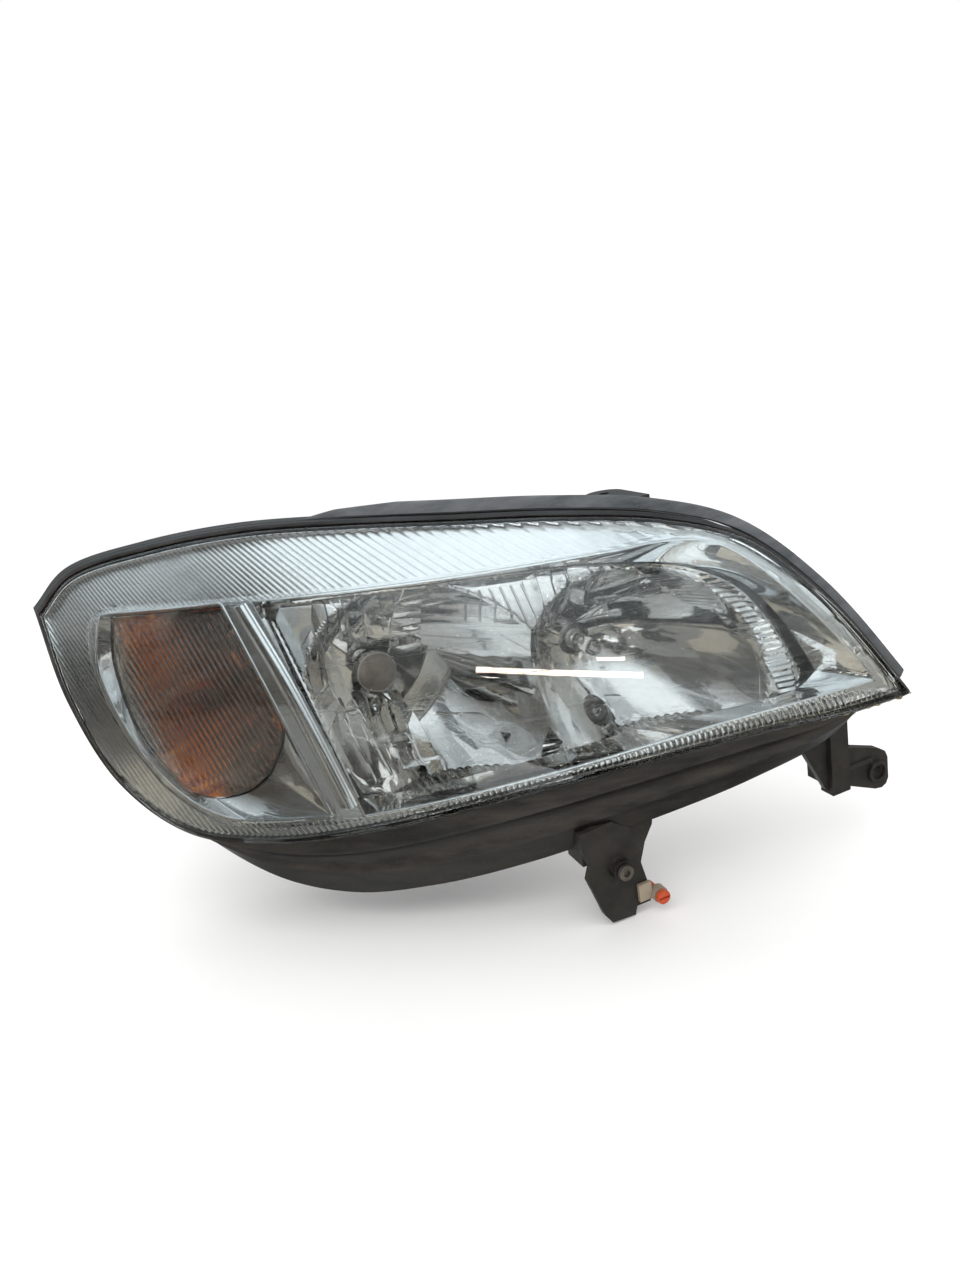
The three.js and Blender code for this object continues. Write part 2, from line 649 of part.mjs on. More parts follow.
// ---------- aiming gear ----------
function ballRod({ x, y, z }, radius, end) {
  const ball = new THREE.SphereGeometry(BALL_R, 12, 8).translate(x, y, z);
  return joined(solid(ball), solid(rod(radius, y + 2, end, x, z, 12)));
}
const stud = joined(
  ballRod(PIVOT, 3, rearY(PIVOT.x) + 12),
  solid(rod(4, rearY(PIVOT.x) - 9, rearY(PIVOT.x) + 12, PIVOT.x, PIVOT.z, 12)),
  solid(rod(7, rearY(PIVOT.x) + 8.4, rearY(PIVOT.x) + 12, PIVOT.x, PIVOT.z, 6)),
);
piece("pivot_stud", stud, STEEL);
piece(
  "pivot_cup",
  turned([[0, PIVOT.y - 7.8], [7.3, PIVOT.y - 7.8], [7.3, PIVOT.y + 4], [5.7, PIVOT.y + 4],
    [5.7, PIVOT.y - 6], [0, PIVOT.y - 6]], PIVOT.x, PIVOT.z, 16),
  GREY_PLASTIC,
);

const SIDE_WALL = rearY(SIDE_AIM.x);
piece("side_adjuster_rod", ballRod(SIDE_AIM, 3, SIDE_WALL + 34), STEEL);
function adjusterWheel({ x, z }, y0, bore) {
  const body = tube(bore, 9, y0, y0 + 14, x, z, 18);
  const teeth = Array.from({ length: 9 }, (_, i) =>
    solid(block(-1.3, 1.3, 0, 6, 8, 12).rotateY((i * 2 * Math.PI) / 9).translate(x, y0 + 1, z)),
  );
  return joined(solid(body), ...teeth);
}
piece("side_adjuster_wheel", adjusterWheel(SIDE_AIM, SIDE_WALL + 8.4, 3.4), GREY_PLASTIC);

function motor() {
  const { x, z } = LEVELLER;
  const body = joined(
    solid(rod(17.5, 136, MOTOR_BACK + 1, x, z, 18)),
    solid(block(x - 24, x + 26, MOTOR_BACK, MOTOR_BACK + 30, z - 34, z + 22)),
    solid(block(x - 12, x + 12, MOTOR_BACK + 8, MOTOR_BACK + 26, z - 48, z - 33)),
  );
  return cut(
    body,
    solid(rod(5, 120, MOTOR_BACK + 20, x, z, 14)),
    solid(rod(3.6, 120, MOTOR_BACK + 40, x, z, 14)),
    solid(block(x - 10, x + 10, MOTOR_BACK + 10, MOTOR_BACK + 24, z - 60, z - 38)),
  );
}
piece("levelling_motor", motor(), BLACK_PLASTIC);
piece("motor_spindle", ballRod(LEVELLER, 3, MOTOR_BACK + 12), GREY_PLASTIC);
piece("motor_seal", tube(18.3, 22, MOTOR_BACK - 3.4, MOTOR_BACK - 0.4, LEVELLER.x, LEVELLER.z, 18), RUBBER);
piece(
  "height_adjuster_wheel",
  joined(
    adjusterWheel(LEVELLER, MOTOR_BACK + 30.4, 2),
    solid(rod(3, MOTOR_BACK + 17, MOTOR_BACK + 44, LEVELLER.x, LEVELLER.z, 12)),
  ),
  GREY_PLASTIC,
);

// ---------- rear covers ----------
/** Group on the rear wall at x and z, whose +Y is the wall's normal. */
function onWall({ x, z }) {
  const group = new THREE.Group();
  group.position.set(x, rearY(x), z);
  group.rotation.z = REAR_TURN;
  lamp.add(group);
  return group;
}
for (const [beam, door] of [["low", LOW_DOOR], ["high", HIGH_DOOR]]) {
  const rim = door.r + COLLAR_WALL;
  const place = onWall(door);
  const cap = turned(
    [[0, COLLAR + 3.4], [rim + 0.4, COLLAR + 3.4], [rim + 0.4, 3], [rim + 2.6, 3],
      [rim + 2.6, COLLAR + 5.6], [0, COLLAR + 5.6]],
    0,
    0,
    24,
  );
  const handle = block(-door.r * 0.7, door.r * 0.7, COLLAR + 5, COLLAR + 15, -3, 3);
  const grips = [0, 1, 2].map((k) =>
    solid(block(rim + 2, rim + 6, 3, 13, -6, 6).rotateY(1.5 + (k * 2 * Math.PI) / 3)),
  );
  piece(`${beam}_beam_rear_cover`, joined(solid(cap), solid(handle), ...grips), BLACK_PLASTIC, place);
  piece(
    `${beam}_beam_cover_seal`,
    tube(door.r - 2, rim - 0.2, COLLAR + 0.35, COLLAR + 3.05, 0, 0, 24),
    RUBBER,
    place,
  );
}
for (const [name, vent] of [["inner", VENTS[0]], ["outer", VENTS[1]]])
  piece(
    `${name}_breather_cap`,
    turned([[0, 10.4], [5.4, 10.4], [5.4, 4], [7, 4], [7, 12.5], [0, 12.5]], 0, 0, 12),
    RUBBER,
    onWall(vent),
  );

// ---------- wiring socket ----------
const SOCKET = { x: 150, z: -62 };
function mainSocket() {
  const shell = joined(
    solid(block(-24, 24, 0.4, 4, -16, 16)),
    solid(block(-19, 19, 3, 26, -11, 11)),
    solid(block(-4, 4, 8, 26, 10, 13)),
  );
  const pins = Array.from({ length: 6 }, (_, i) =>
    solid(block(-14 + i * 5.2, -12.4 + i * 5.2, 7, 22, -1, 1)),
  );
  return joined(cut(shell, solid(block(-16.5, 16.5, 8, 30, -8.5, 8.5))), ...pins);
}
piece("wiring_socket", mainSocket(), BLACK_PLASTIC, onWall(SOCKET));

// ---------- trim and brackets ----------
/** Ribbon that stands along an open line of x and z, from inner to outer off it. */
function ribbon(points, samples, inner, outer, front, back) {
  const curve = new THREE.CatmullRomCurve3(
    points.map(([x, z]) => new THREE.Vector3(x, 0, z)),
    false,
    "centripetal",
  );
  const rings = [];
  for (let i = 0; i <= samples; i++) {
    const [p, t] = [curve.getPointAt(i / samples), curve.getTangentAt(i / samples)];
    const corner = (out, depth) =>
      new THREE.Vector3(p.x - t.z * out, 0, p.z + t.x * out).setY(
        lensY(p.x - t.z * out, p.z + t.x * out, depth),
      );
    rings.push([
      corner(inner, front), corner(outer, front + 3), corner(outer, back), corner(inner, back),
    ]);
  }
  return skin(rings);
}
piece(
  "top_seal_strip",
  ribbon([[-70, 76], [-50, 75], [10, 69], [70, 62], [125, 51], [165, 33], [196, -5], [228, -68]],
    24, 4.2, 12, 10, 17),
  RUBBER,
);
piece(
  "divider_bar",
  ribbon([[-96, -99], [-104, -58], [-113, -14], [-125, 33]], 10, -5, 5, 5.4, 8.6),
  CHROME,
);

/** Flat plate over an outline of x and z points, between two depths. */
const plate = (points, y0, y1) => solid(prism(points.map(([x, z]) => new THREE.Vector2(x, z)), y0, y1));

const TAB = { x: 247, z: -151 }; // hole of the tab towards the middle of the car
function innerTab() {
  const body = joined(
    solid(block(206, 221, -70, -58, -155, -98)),
    plate([[188, -98], [188, -119], [204, -151], [210, -154], [210, -98]], -66, -61),
    plate([[217, -126], [228, -127], [250, -135], [256, -139], [258, -144], [258, -160], [256, -164],
      [252, -166], [246, -165], [217, -152]], -66, -60),
    solid(block(207, 212, -62, -44, -150, -96)),
    solid(rod(8, -69, -62, TAB.x, TAB.z, 18)),
    solid(block(219, TAB.x - 4, -68, -62, -142, -139)),
  );
  const holes = [rod(5.6, -80, -67, TAB.x, TAB.z, 16), rod(3.8, -80, -50, TAB.x, TAB.z, 16)];
  return cut(body, ...holes.map(solid), UNDERCUT);
}
piece("inner_tab", innerTab(), BLACK_PLASTIC);

const BRACKET_Y = -31; // front face of the lower bracket
const BOSS = { x: 58, z: -171 }; // screw boss of the lower bracket
function lowerBracket() {
  const [y0, y1] = [BRACKET_Y, BRACKET_Y + 5];
  const body = joined(
    plate([[33, -138], [90, -134], [87, -149], [80, -160], [75, -174], [78, -189], [79, -206],
      [68, -206], [66, -212], [48, -211], [43, -203], [38, -186], [34, -173], [37, -165], [33, -151]],
      y0, y1),
    solid(block(34, 40, y1 - 1, y1 + 20, -164, -140)),
    solid(block(79, 84, y1 - 1, y1 + 20, -157, -136)),
    solid(rod(7.6, y0 - 7, y1, BOSS.x, BOSS.z, 20)),
  );
  return cut(body, solid(rod(2.9, y0 - 12, y1 + 3, BOSS.x, BOSS.z, 14)), UNDERCUT);
}
piece("lower_bracket", lowerBracket(), BLACK_PLASTIC);

piece(
  "lower_bracket_screw",
  cut(
    joined(
      solid(rod(2.6, BRACKET_Y - 8, BRACKET_Y + 6, BOSS.x, BOSS.z, 12)),
      solid(rod(5.4, BRACKET_Y - 11, BRACKET_Y - 7.4, BOSS.x, BOSS.z, 16)),
    ),
    solid(rod(2.4, BRACKET_Y - 13, BRACKET_Y - 8.6, BOSS.x, BOSS.z, 6)),
  ),
  STEEL,
);

const PIN = { x: 83.5, z: -200 }; // turning pin beside the lower bracket
function clip() {
  const [y0, y1] = [BRACKET_Y - 3.4, BRACKET_Y - 0.4];
  return joined(
    solid(block(69, 79, y0, y1, -202, -189)),
    cut(
      solid(rod(5.8, y0 - 3, y1, PIN.x, PIN.z, 16)),
      solid(rod(3.6, y0 - 6, y1 + 9, PIN.x, PIN.z, 16)),
    ),
  );
}
piece("bracket_clip", clip(), BEIGE);
piece(
  "locking_pin",
  cut(
    joined(
      solid(rod(3.2, BRACKET_Y - 8, BRACKET_Y + 10, PIN.x, PIN.z, 16)),
      solid(rod(5, BRACKET_Y - 11, BRACKET_Y - 7, PIN.x, PIN.z, 16)),
    ),
    solid(block(PIN.x - 4, PIN.x + 4, BRACKET_Y - 12, BRACKET_Y - 9.5, PIN.z - 0.8, PIN.z + 0.8)),
  ),
  RED_PLASTIC,
);

export default lamp;
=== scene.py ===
import math

import bmesh
import bpy
import numpy as np
from mathutils import Matrix, Quaternion, Vector
from mathutils.geometry import delaunay_2d_cdt
from mathutils.kdtree import KDTree


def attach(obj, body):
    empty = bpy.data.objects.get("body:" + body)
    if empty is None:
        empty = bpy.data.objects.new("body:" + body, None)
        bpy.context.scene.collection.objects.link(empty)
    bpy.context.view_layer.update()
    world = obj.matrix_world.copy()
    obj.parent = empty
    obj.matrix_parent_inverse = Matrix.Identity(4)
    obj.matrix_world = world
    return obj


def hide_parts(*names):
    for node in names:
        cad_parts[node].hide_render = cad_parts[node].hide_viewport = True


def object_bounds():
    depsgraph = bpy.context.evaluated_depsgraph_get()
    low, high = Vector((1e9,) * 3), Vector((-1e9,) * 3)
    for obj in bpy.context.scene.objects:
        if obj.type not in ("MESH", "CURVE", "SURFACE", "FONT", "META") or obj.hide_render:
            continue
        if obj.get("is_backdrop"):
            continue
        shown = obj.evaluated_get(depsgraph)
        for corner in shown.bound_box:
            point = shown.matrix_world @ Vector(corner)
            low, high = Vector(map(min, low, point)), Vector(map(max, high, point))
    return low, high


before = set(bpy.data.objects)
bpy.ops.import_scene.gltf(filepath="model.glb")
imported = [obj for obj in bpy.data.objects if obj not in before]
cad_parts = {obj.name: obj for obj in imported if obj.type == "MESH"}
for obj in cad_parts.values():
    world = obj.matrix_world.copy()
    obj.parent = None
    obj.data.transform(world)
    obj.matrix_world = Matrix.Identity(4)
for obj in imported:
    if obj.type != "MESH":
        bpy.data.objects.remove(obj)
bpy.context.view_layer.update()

# Shapes are laid out in millimetres in the lens frame, whose zero lies on the lens behind its
# middle. LUG is the row's origin there: the face of the top fixing lug.
MM = 0.001
LUG = np.array([127.0, 37.0, 60.0])


def lens_y(x, z, back=0.0):
    """Depth, in y, of the lens's outer face, or of the surface a distance back behind it."""
    return -0.59 * x + 0.00089 * x * x + 0.5 * z + 0.0015 * z * z + back


REAR_SLOPE = 0.62
REAR_TURN = -math.atan(REAR_SLOPE)


def rear_y(x):
    """Depth of the housing's flat rear wall."""
    return 150.0 - REAR_SLOPE * x


# ---------------------------------------------------------------- curves
def resample(line, count):
    """count + 1 points evenly along a line."""
    steps = np.linalg.norm(np.diff(line, axis=0), axis=1)
    at = np.concatenate([[0.0], np.cumsum(steps)])
    want = np.linspace(0.0, at[-1], count + 1)
    return np.stack([np.interp(want, at, line[:, k]) for k in range(line.shape[1])], 1)


def spline(points, count):
    """count + 1 points evenly along a centripetal Catmull-Rom curve."""
    p = np.array(points, float)
    p = np.vstack([2 * p[0] - p[1], p, 2 * p[-1] - p[-2]])
    t = np.linspace(0, 1, 80, endpoint=False)[:, None]
    out = []
    for i in range(1, len(p) - 2):
        a, b, c, d = p[i - 1 : i + 3]
        d0, d1, d2 = (max(np.linalg.norm(v), 1e-9) ** 0.5 for v in (b - a, c - b, d - c))
        t1 = ((b - a) / d0 - (c - a) / (d0 + d1) + (c - b) / d1) * d1
        t2 = ((c - b) / d1 - (d - b) / (d1 + d2) + (d - c) / d2) * d1
        out.append(b + t1 * t + (3 * c - 3 * b - 2 * t1 - t2) * t**2 + (2 * b - 2 * c + t1 + t2) * t**3)
    return resample(np.vstack(out + [p[-2:-1]]), count)


def outline(*spans):
    """Closed loop from smooth spans, each given as its points and a count."""
    return np.vstack([spline(points, count)[:-1] for points, count in spans])


def circle(x, z, r, count=72):
    a = np.linspace(0, 2 * math.pi, count, endpoint=False)
    return np.stack([x + r * np.cos(a), z + r * np.sin(a)], 1)


def area(points):
    """Signed area of a closed loop."""
    x, z = points[:, 0], points[:, 1]
    return 0.5 * np.sum(x * np.roll(z, -1) - np.roll(x, -1) * z)


def unit(vectors):
    return vectors / (np.linalg.norm(vectors, axis=1)[:, None] + 1e-12)


def grown(points, d):
    """Closed loop moved outwards by d, or inwards if d is negative."""
    before = unit(points - np.roll(points, 1, 0))
    after = unit(np.roll(points, -1, 0) - points)
    normal = unit(np.stack([before[:, 1] + after[:, 1], -before[:, 0] - after[:, 0]], 1))
    mitre = np.maximum(0.6, normal[:, 0] * after[:, 1] - normal[:, 1] * after[:, 0])
    side = 1 if area(points) > 0 else -1
    return points + normal * (side * d / mitre)[:, None]


def at_depth(points, y):
    """Points in space from points in x and z, and their depths or one depth for all."""
    return np.stack([points[:, 0], np.zeros(len(points)) + y, points[:, 1]], 1)


def on_lens(points, back):
    return at_depth(points, lens_y(points[:, 0], points[:, 1], back))


def on_rear(points, shift=0.0):
    return at_depth(points, rear_y(points[:, 0]) + shift)


def rims(loop, steps):
    """Rings behind the lens from steps of growth and depth."""
    return [on_lens(grown(loop, grow), back) for grow, back in steps]


def mixed(a, b, t):
    """a at t = 0, b at t = 1."""
    return a + (b - a) * t


# ---------------------------------------------------------------- meshes
def build(name, verts, faces, angle=40.0):
    """Object from points in the lens frame. faces are index lists; normals are made to face out."""
    mesh = bpy.data.meshes.new(name)
    counts = np.array([len(f) for f in faces], np.int32)
    loops = np.concatenate([np.asarray(f, np.int32) for f in faces])
    mesh.vertices.add(len(verts))
    mesh.vertices.foreach_set("co", ((np.asarray(verts) - LUG) * MM).astype(np.float32).ravel())
    mesh.loops.add(len(loops))
    mesh.loops.foreach_set("vertex_index", loops)
    mesh.polygons.add(len(counts))
    mesh.polygons.foreach_set("loop_start", np.concatenate([[0], np.cumsum(counts)[:-1]]).astype(np.int32))
    mesh.polygons.foreach_set("loop_total", counts)
    mesh.update(calc_edges=True)
    mesh.validate()
    bm = bmesh.new()
    bm.from_mesh(mesh)
    bmesh.ops.recalc_face_normals(bm, faces=bm.faces)
    bm.to_mesh(mesh)
    bm.free()
    obj = bpy.data.objects.new(name, mesh)
    bpy.context.scene.collection.objects.link(obj)
    smooth(obj, angle)
    return obj


def smooth(obj, angle=40.0):
    obj.data.polygons.foreach_set("use_smooth", [True] * len(obj.data.polygons))
    obj.data.set_sharp_from_angle(angle=math.radians(angle))
    return obj


def rings(name, loops, wrap=False, start=None, end=None, angle=40.0):
    """Skin over rings of equal length, closed by fans, or by joining the last ring to the first."""
    n = len(loops[0])
    verts = np.vstack(loops)
    i = np.arange(n)
    j = (i + 1) % n
    quads = []
    for r in range(len(loops) if wrap else len(loops) - 1):
        a, b = r * n, ((r + 1) % len(loops)) * n
        quads.append(np.stack([a + i, a + j, b + j, b + i], 1))
    faces = list(np.vstack(quads))
    if not wrap:
        verts = np.vstack([verts, loops[0].mean(0) if start is None else start,
                           loops[-1].mean(0) if end is None else end])
        first, base = len(verts) - 2, (len(loops) - 1) * n
        faces += list(np.stack([np.full(n, first), j, i], 1))
        faces += list(np.stack([np.full(n, first + 1), base + i, base + j], 1))
    return build(name, verts, faces, angle)


def turned(name, profile, x=0.0, y=0.0, z=0.0, turn=0.0, segments=64, angle=35.0):
    """Body of revolution about Y from [radius, y] points, turned about Z and then put at x, y, z."""
    loops = []
    for r, h in profile:
        loops.append(at_depth(circle(0, 0, max(r, 1e-4), segments), h))
    spin = np.array(Matrix.Rotation(turn, 3, "Z"))
    loops = [ring @ spin.T + np.array([x, y, z]) for ring in loops]
    closed = profile[0][0] > 0.01 and profile[-1][0] > 0.01
    return rings(name, loops, wrap=closed, angle=angle)


def cuboid(name, x0, x1, y0, y1, z0, z1, round_mm=0.6):
    v = [(x, y, z) for x in (x0, x1) for y in (y0, y1) for z in (z0, z1)]
    f = [(0, 1, 3, 2), (4, 6, 7, 5), (0, 4, 5, 1), (2, 3, 7, 6), (0, 2, 6, 4), (1, 5, 7, 3)]
    obj = build(name, np.array(v, float), f)
    if round_mm:
        soften(obj, round_mm)
    return obj


def soften(obj, width_mm=0.5, segments=2, angle=32.0):
    mod = obj.modifiers.new("edges", "BEVEL")
    mod.width = width_mm * MM
    mod.segments = segments
    mod.limit_method = "ANGLE"
    mod.angle_limit = math.radians(angle)
    mod.harden_normals = True
    return obj


def applied(obj):
    """Bakes the object's modifiers into its mesh."""
    depsgraph = bpy.context.evaluated_depsgraph_get()
    mesh = bpy.data.meshes.new_from_object(obj.evaluated_get(depsgraph))
    obj.modifiers.clear()
    obj.data = mesh
    return obj


def boolean(obj, other, operation):
    mod = obj.modifiers.new("cut", "BOOLEAN")
    mod.operation = operation
    mod.solver = "MANIFOLD"
    mod.object = other
    applied(obj)
    bpy.data.objects.remove(other)
    return obj


def join(name, *objs):
    """One object from several, which may overlap."""
    bm = bmesh.new()
    for o in objs:
        if o.modifiers:
            applied(o)
        bm.from_mesh(o.data)
        bpy.data.objects.remove(o)
    mesh = bpy.data.meshes.new(name)
    bm.to_mesh(mesh)
    bm.free()
    obj = bpy.data.objects.new(name, mesh)
    bpy.context.scene.collection.objects.link(obj)
    return smooth(obj)


def refined(node, width_mm=0.45, angle=32.0):
    """Copy of a CAD node with its flat faces merged and its edges rounded."""
    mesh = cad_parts[node].data.copy()
    bm = bmesh.new()
    bm.from_mesh(mesh)
    bmesh.ops.remove_doubles(bm, verts=bm.verts, dist=2e-6)
    bmesh.ops.dissolve_limit(bm, angle_limit=math.radians(0.6), verts=bm.verts, edges=bm.edges)
    bm.to_mesh(mesh)
    bm.free()
    obj = bpy.data.objects.new(node + "_part", mesh)
    bpy.context.scene.collection.objects.link(obj)
    smooth(obj, angle)
    if width_mm:
        soften(obj, width_mm, angle=angle)
    return obj


def put(obj, body, material, slot, *nodes):
    """Gives a piece its material and its body, and hides the CAD nodes that it stands for. slot is not used.
    """
    obj.data.materials.clear()
    obj.data.materials.append(material)
    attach(obj, body)
    if nodes:
        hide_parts(*nodes)
    return obj


# ---------------------------------------------------------------- materials
class Nodes:
    """Short way to write the node tree of a material or of the world."""

    def __init__(self, owner):
        owner.use_nodes = True
        self.owner = owner
        self.tree = owner.node_tree
        self.shader = self.tree.nodes.get("Principled BSDF")

    def add(self, kind, **values):
        node = self.tree.nodes.new("ShaderNode" + kind)
        for key, value in values.items():
            if key in node.inputs:
                node.inputs[key].default_value = value
            else:
                setattr(node, key, value)
        return node

    def link(self, source, target):
        self.tree.links.new(source, target)

    def feed(self, source, name):
        """Links a socket to the named input of the main shader."""
        self.link(source, self.shader.inputs[name])

    def fed(self, name):
        """The socket that already feeds the named input of the main shader."""
        return self.shader.inputs[name].links[0].from_socket

    def set(self, **values):
        for key, value in values.items():
            self.shader.inputs[key.replace("_", " ")].default_value = value

    def place(self, kind="Object"):
        return self.add("TexCoord").outputs[kind]

    def split(self, vector):
        node = self.add("SeparateXYZ")
        self.link(vector, node.inputs["Vector"])
        return node.outputs

    def normal(self):
        return self.split(self.add("NewGeometry").outputs["Normal"])

    def noise(self, scale, detail=4.0, roughness=0.55, stretch=None):
        tex = self.add("TexNoise", Scale=scale, Detail=detail, Roughness=roughness)
        where = self.place()
        if stretch:
            mapping = self.add("Mapping")
            mapping.inputs["Scale"].default_value = stretch
            self.link(where, mapping.inputs["Vector"])
            where = mapping.outputs["Vector"]
        self.link(where, tex.inputs["Vector"])
        return tex.outputs["Fac"]

    def ramp(self, fac, *stops):
        ramp = self.add("ValToRGB")
        while len(ramp.color_ramp.elements) < len(stops):
            ramp.color_ramp.elements.new(0.5)
        for element, (at, colour) in zip(ramp.color_ramp.elements, stops):
            element.position = at
            element.color = (*colour, 1.0)
        self.link(fac, ramp.inputs["Fac"])
        return ramp.outputs["Color"]

    def values(self, fac, low, high, at=(0.0, 1.0)):
        node = self.add("MapRange")
        for key, value in zip(("From Min", "From Max", "To Min", "To Max"), (*at, low, high)):
            node.inputs[key].default_value = value
        self.link(fac, node.inputs["Value"])
        return node.outputs["Result"]

    def maths(self, operation, a, b=None):
        node = self.add("Math", operation=operation)
        for k, value in enumerate((a, b)):
            if value is None:
                continue
            if isinstance(value, (int, float)):
                node.inputs[k].default_value = value
            else:
                self.link(value, node.inputs[k])
        return node.outputs["Value"]

    def mix(self, fac, a, b, kind="MIX"):
        """Mix of two colours, each a socket or a tuple. Sockets 6, 7 and 2 are the colour ones."""
        node = self.add("Mix", data_type="RGBA", blend_type=kind)
        if isinstance(fac, float):
            node.inputs["Factor"].default_value = fac
        else:
            self.link(fac, node.inputs["Factor"])
        for socket, value in ((node.inputs[6], a), (node.inputs[7], b)):
            if isinstance(value, tuple):
                socket.default_value = (*value, 1.0)
            else:
                self.link(value, socket)
        return node.outputs[2]

    def towards(self, vector, direction):
        """Cosine of the angle between a vector and a direction."""
        node = self.add("VectorMath", operation="DOT_PRODUCT")
        self.link(vector, node.inputs[0])
        node.inputs[1].default_value = direction
        return node.outputs["Value"]

    def mix_shader(self, fac, a, b, output):
        node = self.add("MixShader")
        for socket, value in zip(node.inputs, (fac, a, b)):
            self.link(value, socket)
        self.link(node.outputs["Shader"], self.tree.nodes[output].inputs["Surface"])

    def bump(self, height, strength=0.3, distance=0.0004, previous=None):
        node = self.add("Bump", Strength=strength, Distance=distance)
        self.link(height, node.inputs["Height"])
        if previous is not None:
            self.link(previous, node.inputs["Normal"])
        return node.outputs["Normal"]

    def upward(self, low=0.1, high=0.9):
        """0 where the normal's upward share is below low, 1 where it is above high."""
        return self.values(self.normal()["Z"], 0.0, 1.0, (low, high))

    def painted_rear_shade(self, least):
        """Painted shade: least where the surface faces the rear, 1 where it faces sideways or forward."""
        return self.values(self.normal()["Y"], 1.0, least, (0.45, 0.9))


def new_material(name):
    return Nodes(bpy.data.materials.new(name))


def moulded(name, dark, light, dust, rough=(0.42, 0.68), grain=1500.0, dusty=0.55, bump=0.25,
            faces=(0.05, 0.95), streak=None, above=None, behind=None):
    """Moulded plastic or rubber: cloudy colour, fine grain, and dust between the two upward shares in
    faces. streak stretches the dust, above recolours it on top, behind thins it on the rear as painted
    shade, which leaves faces turned forward lighter as if lit."""
    n = new_material(name)
    cloud = n.noise(24.0, 6.0)
    fine = n.noise(grain, 2.0)
    base = n.ramp(cloud, (0.35, dark), (0.7, light))
    settled = n.values(n.noise(55.0, 8.0, 0.7, streak), 0.0, 1.0, (0.36, 0.66))
    dust_and_painted_light = n.maths("MULTIPLY", n.upward(*faces), settled)
    # Painted light: the dust fades on rear-facing faces, so faces turned forward look lit
    if behind is not None:
        dust_and_painted_light = n.maths("MULTIPLY", dust_and_painted_light, n.painted_rear_shade(behind))
    if above:
        dust = n.mix(n.upward(0.15, 0.6), dust, above)
    colour = n.mix(n.maths("MULTIPLY", dust_and_painted_light, dusty), base, dust)
    speck = n.values(n.noise(900.0, 1.0), 0.0, 1.0, (0.66, 0.72))
    n.feed(n.mix(n.maths("MULTIPLY", speck, 0.35 * dusty), colour, dust), "Base Color")
    worn = n.maths("ADD", cloud, n.maths("MULTIPLY", dust_and_painted_light, 0.5))
    n.feed(n.values(worn, *rough, (0.3, 0.9)), "Roughness")
    n.feed(n.bump(fine, bump, 0.0002, n.bump(cloud, 0.15, 0.0008)), "Normal")
    return n.owner


def chromed(name, colour, haze, rough, wave, grime=(0.33, 0.31, 0.29)):
    """Vacuum-coated plastic: mirror with slight waviness, haze and settled dust."""
    n = new_material(name)
    broad = n.noise(16.0, 5.0, 0.6)
    fine = n.noise(520.0, 3.0, 0.6)
    dirt = n.values(n.maths("MULTIPLY", broad, n.noise(70.0, 6.0, 0.7)), 0.0, haze, (0.17, 0.42))
    n.feed(n.mix(dirt, colour, grime), "Base Color")
    n.feed(n.values(dirt, 1.0, 0.6), "Metallic")
    n.feed(n.values(n.maths("MULTIPLY", fine, broad), *rough, (0.1, 0.45)), "Roughness")
    n.feed(n.bump(fine, 0.02, 0.0002, n.bump(broad, wave, 0.002)), "Normal")
    return n.owner


def glassy(name, colour, shade, rough=0.0, ior=1.5, scratch=0.0):
    """Clear glass or polycarbonate. Its shadow is only the tint named shade."""
    n = new_material(name)
    n.set(Transmission_Weight=1.0, IOR=ior)
    n.shader.inputs["Base Color"].default_value = (*colour, 1.0)
    smear = n.noise(30.0, 6.0, 0.65)
    n.feed(n.values(smear, rough, rough + 0.008, (0.45, 0.75)), "Roughness")
    if scratch:
        lines = []
        for stretch in ((1.0, 1.0, 60.0), (14.0, 14.0, 45.0)):
            level = n.maths("SUBTRACT", n.noise(9.0, 1.0, 0.5, stretch), 0.5)
            lines.append(n.values(n.maths("ABSOLUTE", level), 1.0, 0.0, (0.0, 0.004)))
        n.feed(n.bump(n.maths("ADD", *lines), scratch, 0.0001), "Normal")
    clear = n.add("BsdfTransparent")
    clear.inputs["Color"].default_value = (*shade, 1.0)
    shadow = n.add("LightPath").outputs["Is Shadow Ray"]
    n.mix_shader(shadow, n.shader.outputs["BSDF"], clear.outputs["BSDF"], "Material Output")
    return n.owner


def metal(name, dark, light, rough=(0.22, 0.42), bump=0.12, metallic=1.0):
    n = new_material(name)
    n.feed(n.ramp(n.noise(90.0, 6.0), (0.3, dark), (0.75, light)), "Base Color")
    n.set(Metallic=metallic)
    n.feed(n.values(n.noise(700.0, 2.0), *rough, (0.3, 0.7)), "Roughness")
    n.feed(n.bump(n.noise(1200.0, 2.0), bump, 0.0001), "Normal")
    return n.owner


def shield_metal():
    """Dull grey front; the sides, which the bowl mirrors, are bright."""
    n = Nodes(metal("shield_metal", (0.12, 0.112, 0.10), (0.27, 0.25, 0.23), bump=0.5))
    side = n.values(n.maths("ABSOLUTE", n.normal()["Y"]), 1.0, 0.0, (0.3, 0.8))
    n.feed(n.mix(side, n.fed("Base Color"), (0.70, 0.69, 0.67)), "Base Color")
    n.feed(n.values(side, 0.35, 1.0), "Metallic")
    n.feed(n.values(side, 0.55, 0.12), "Roughness")
    return n.owner


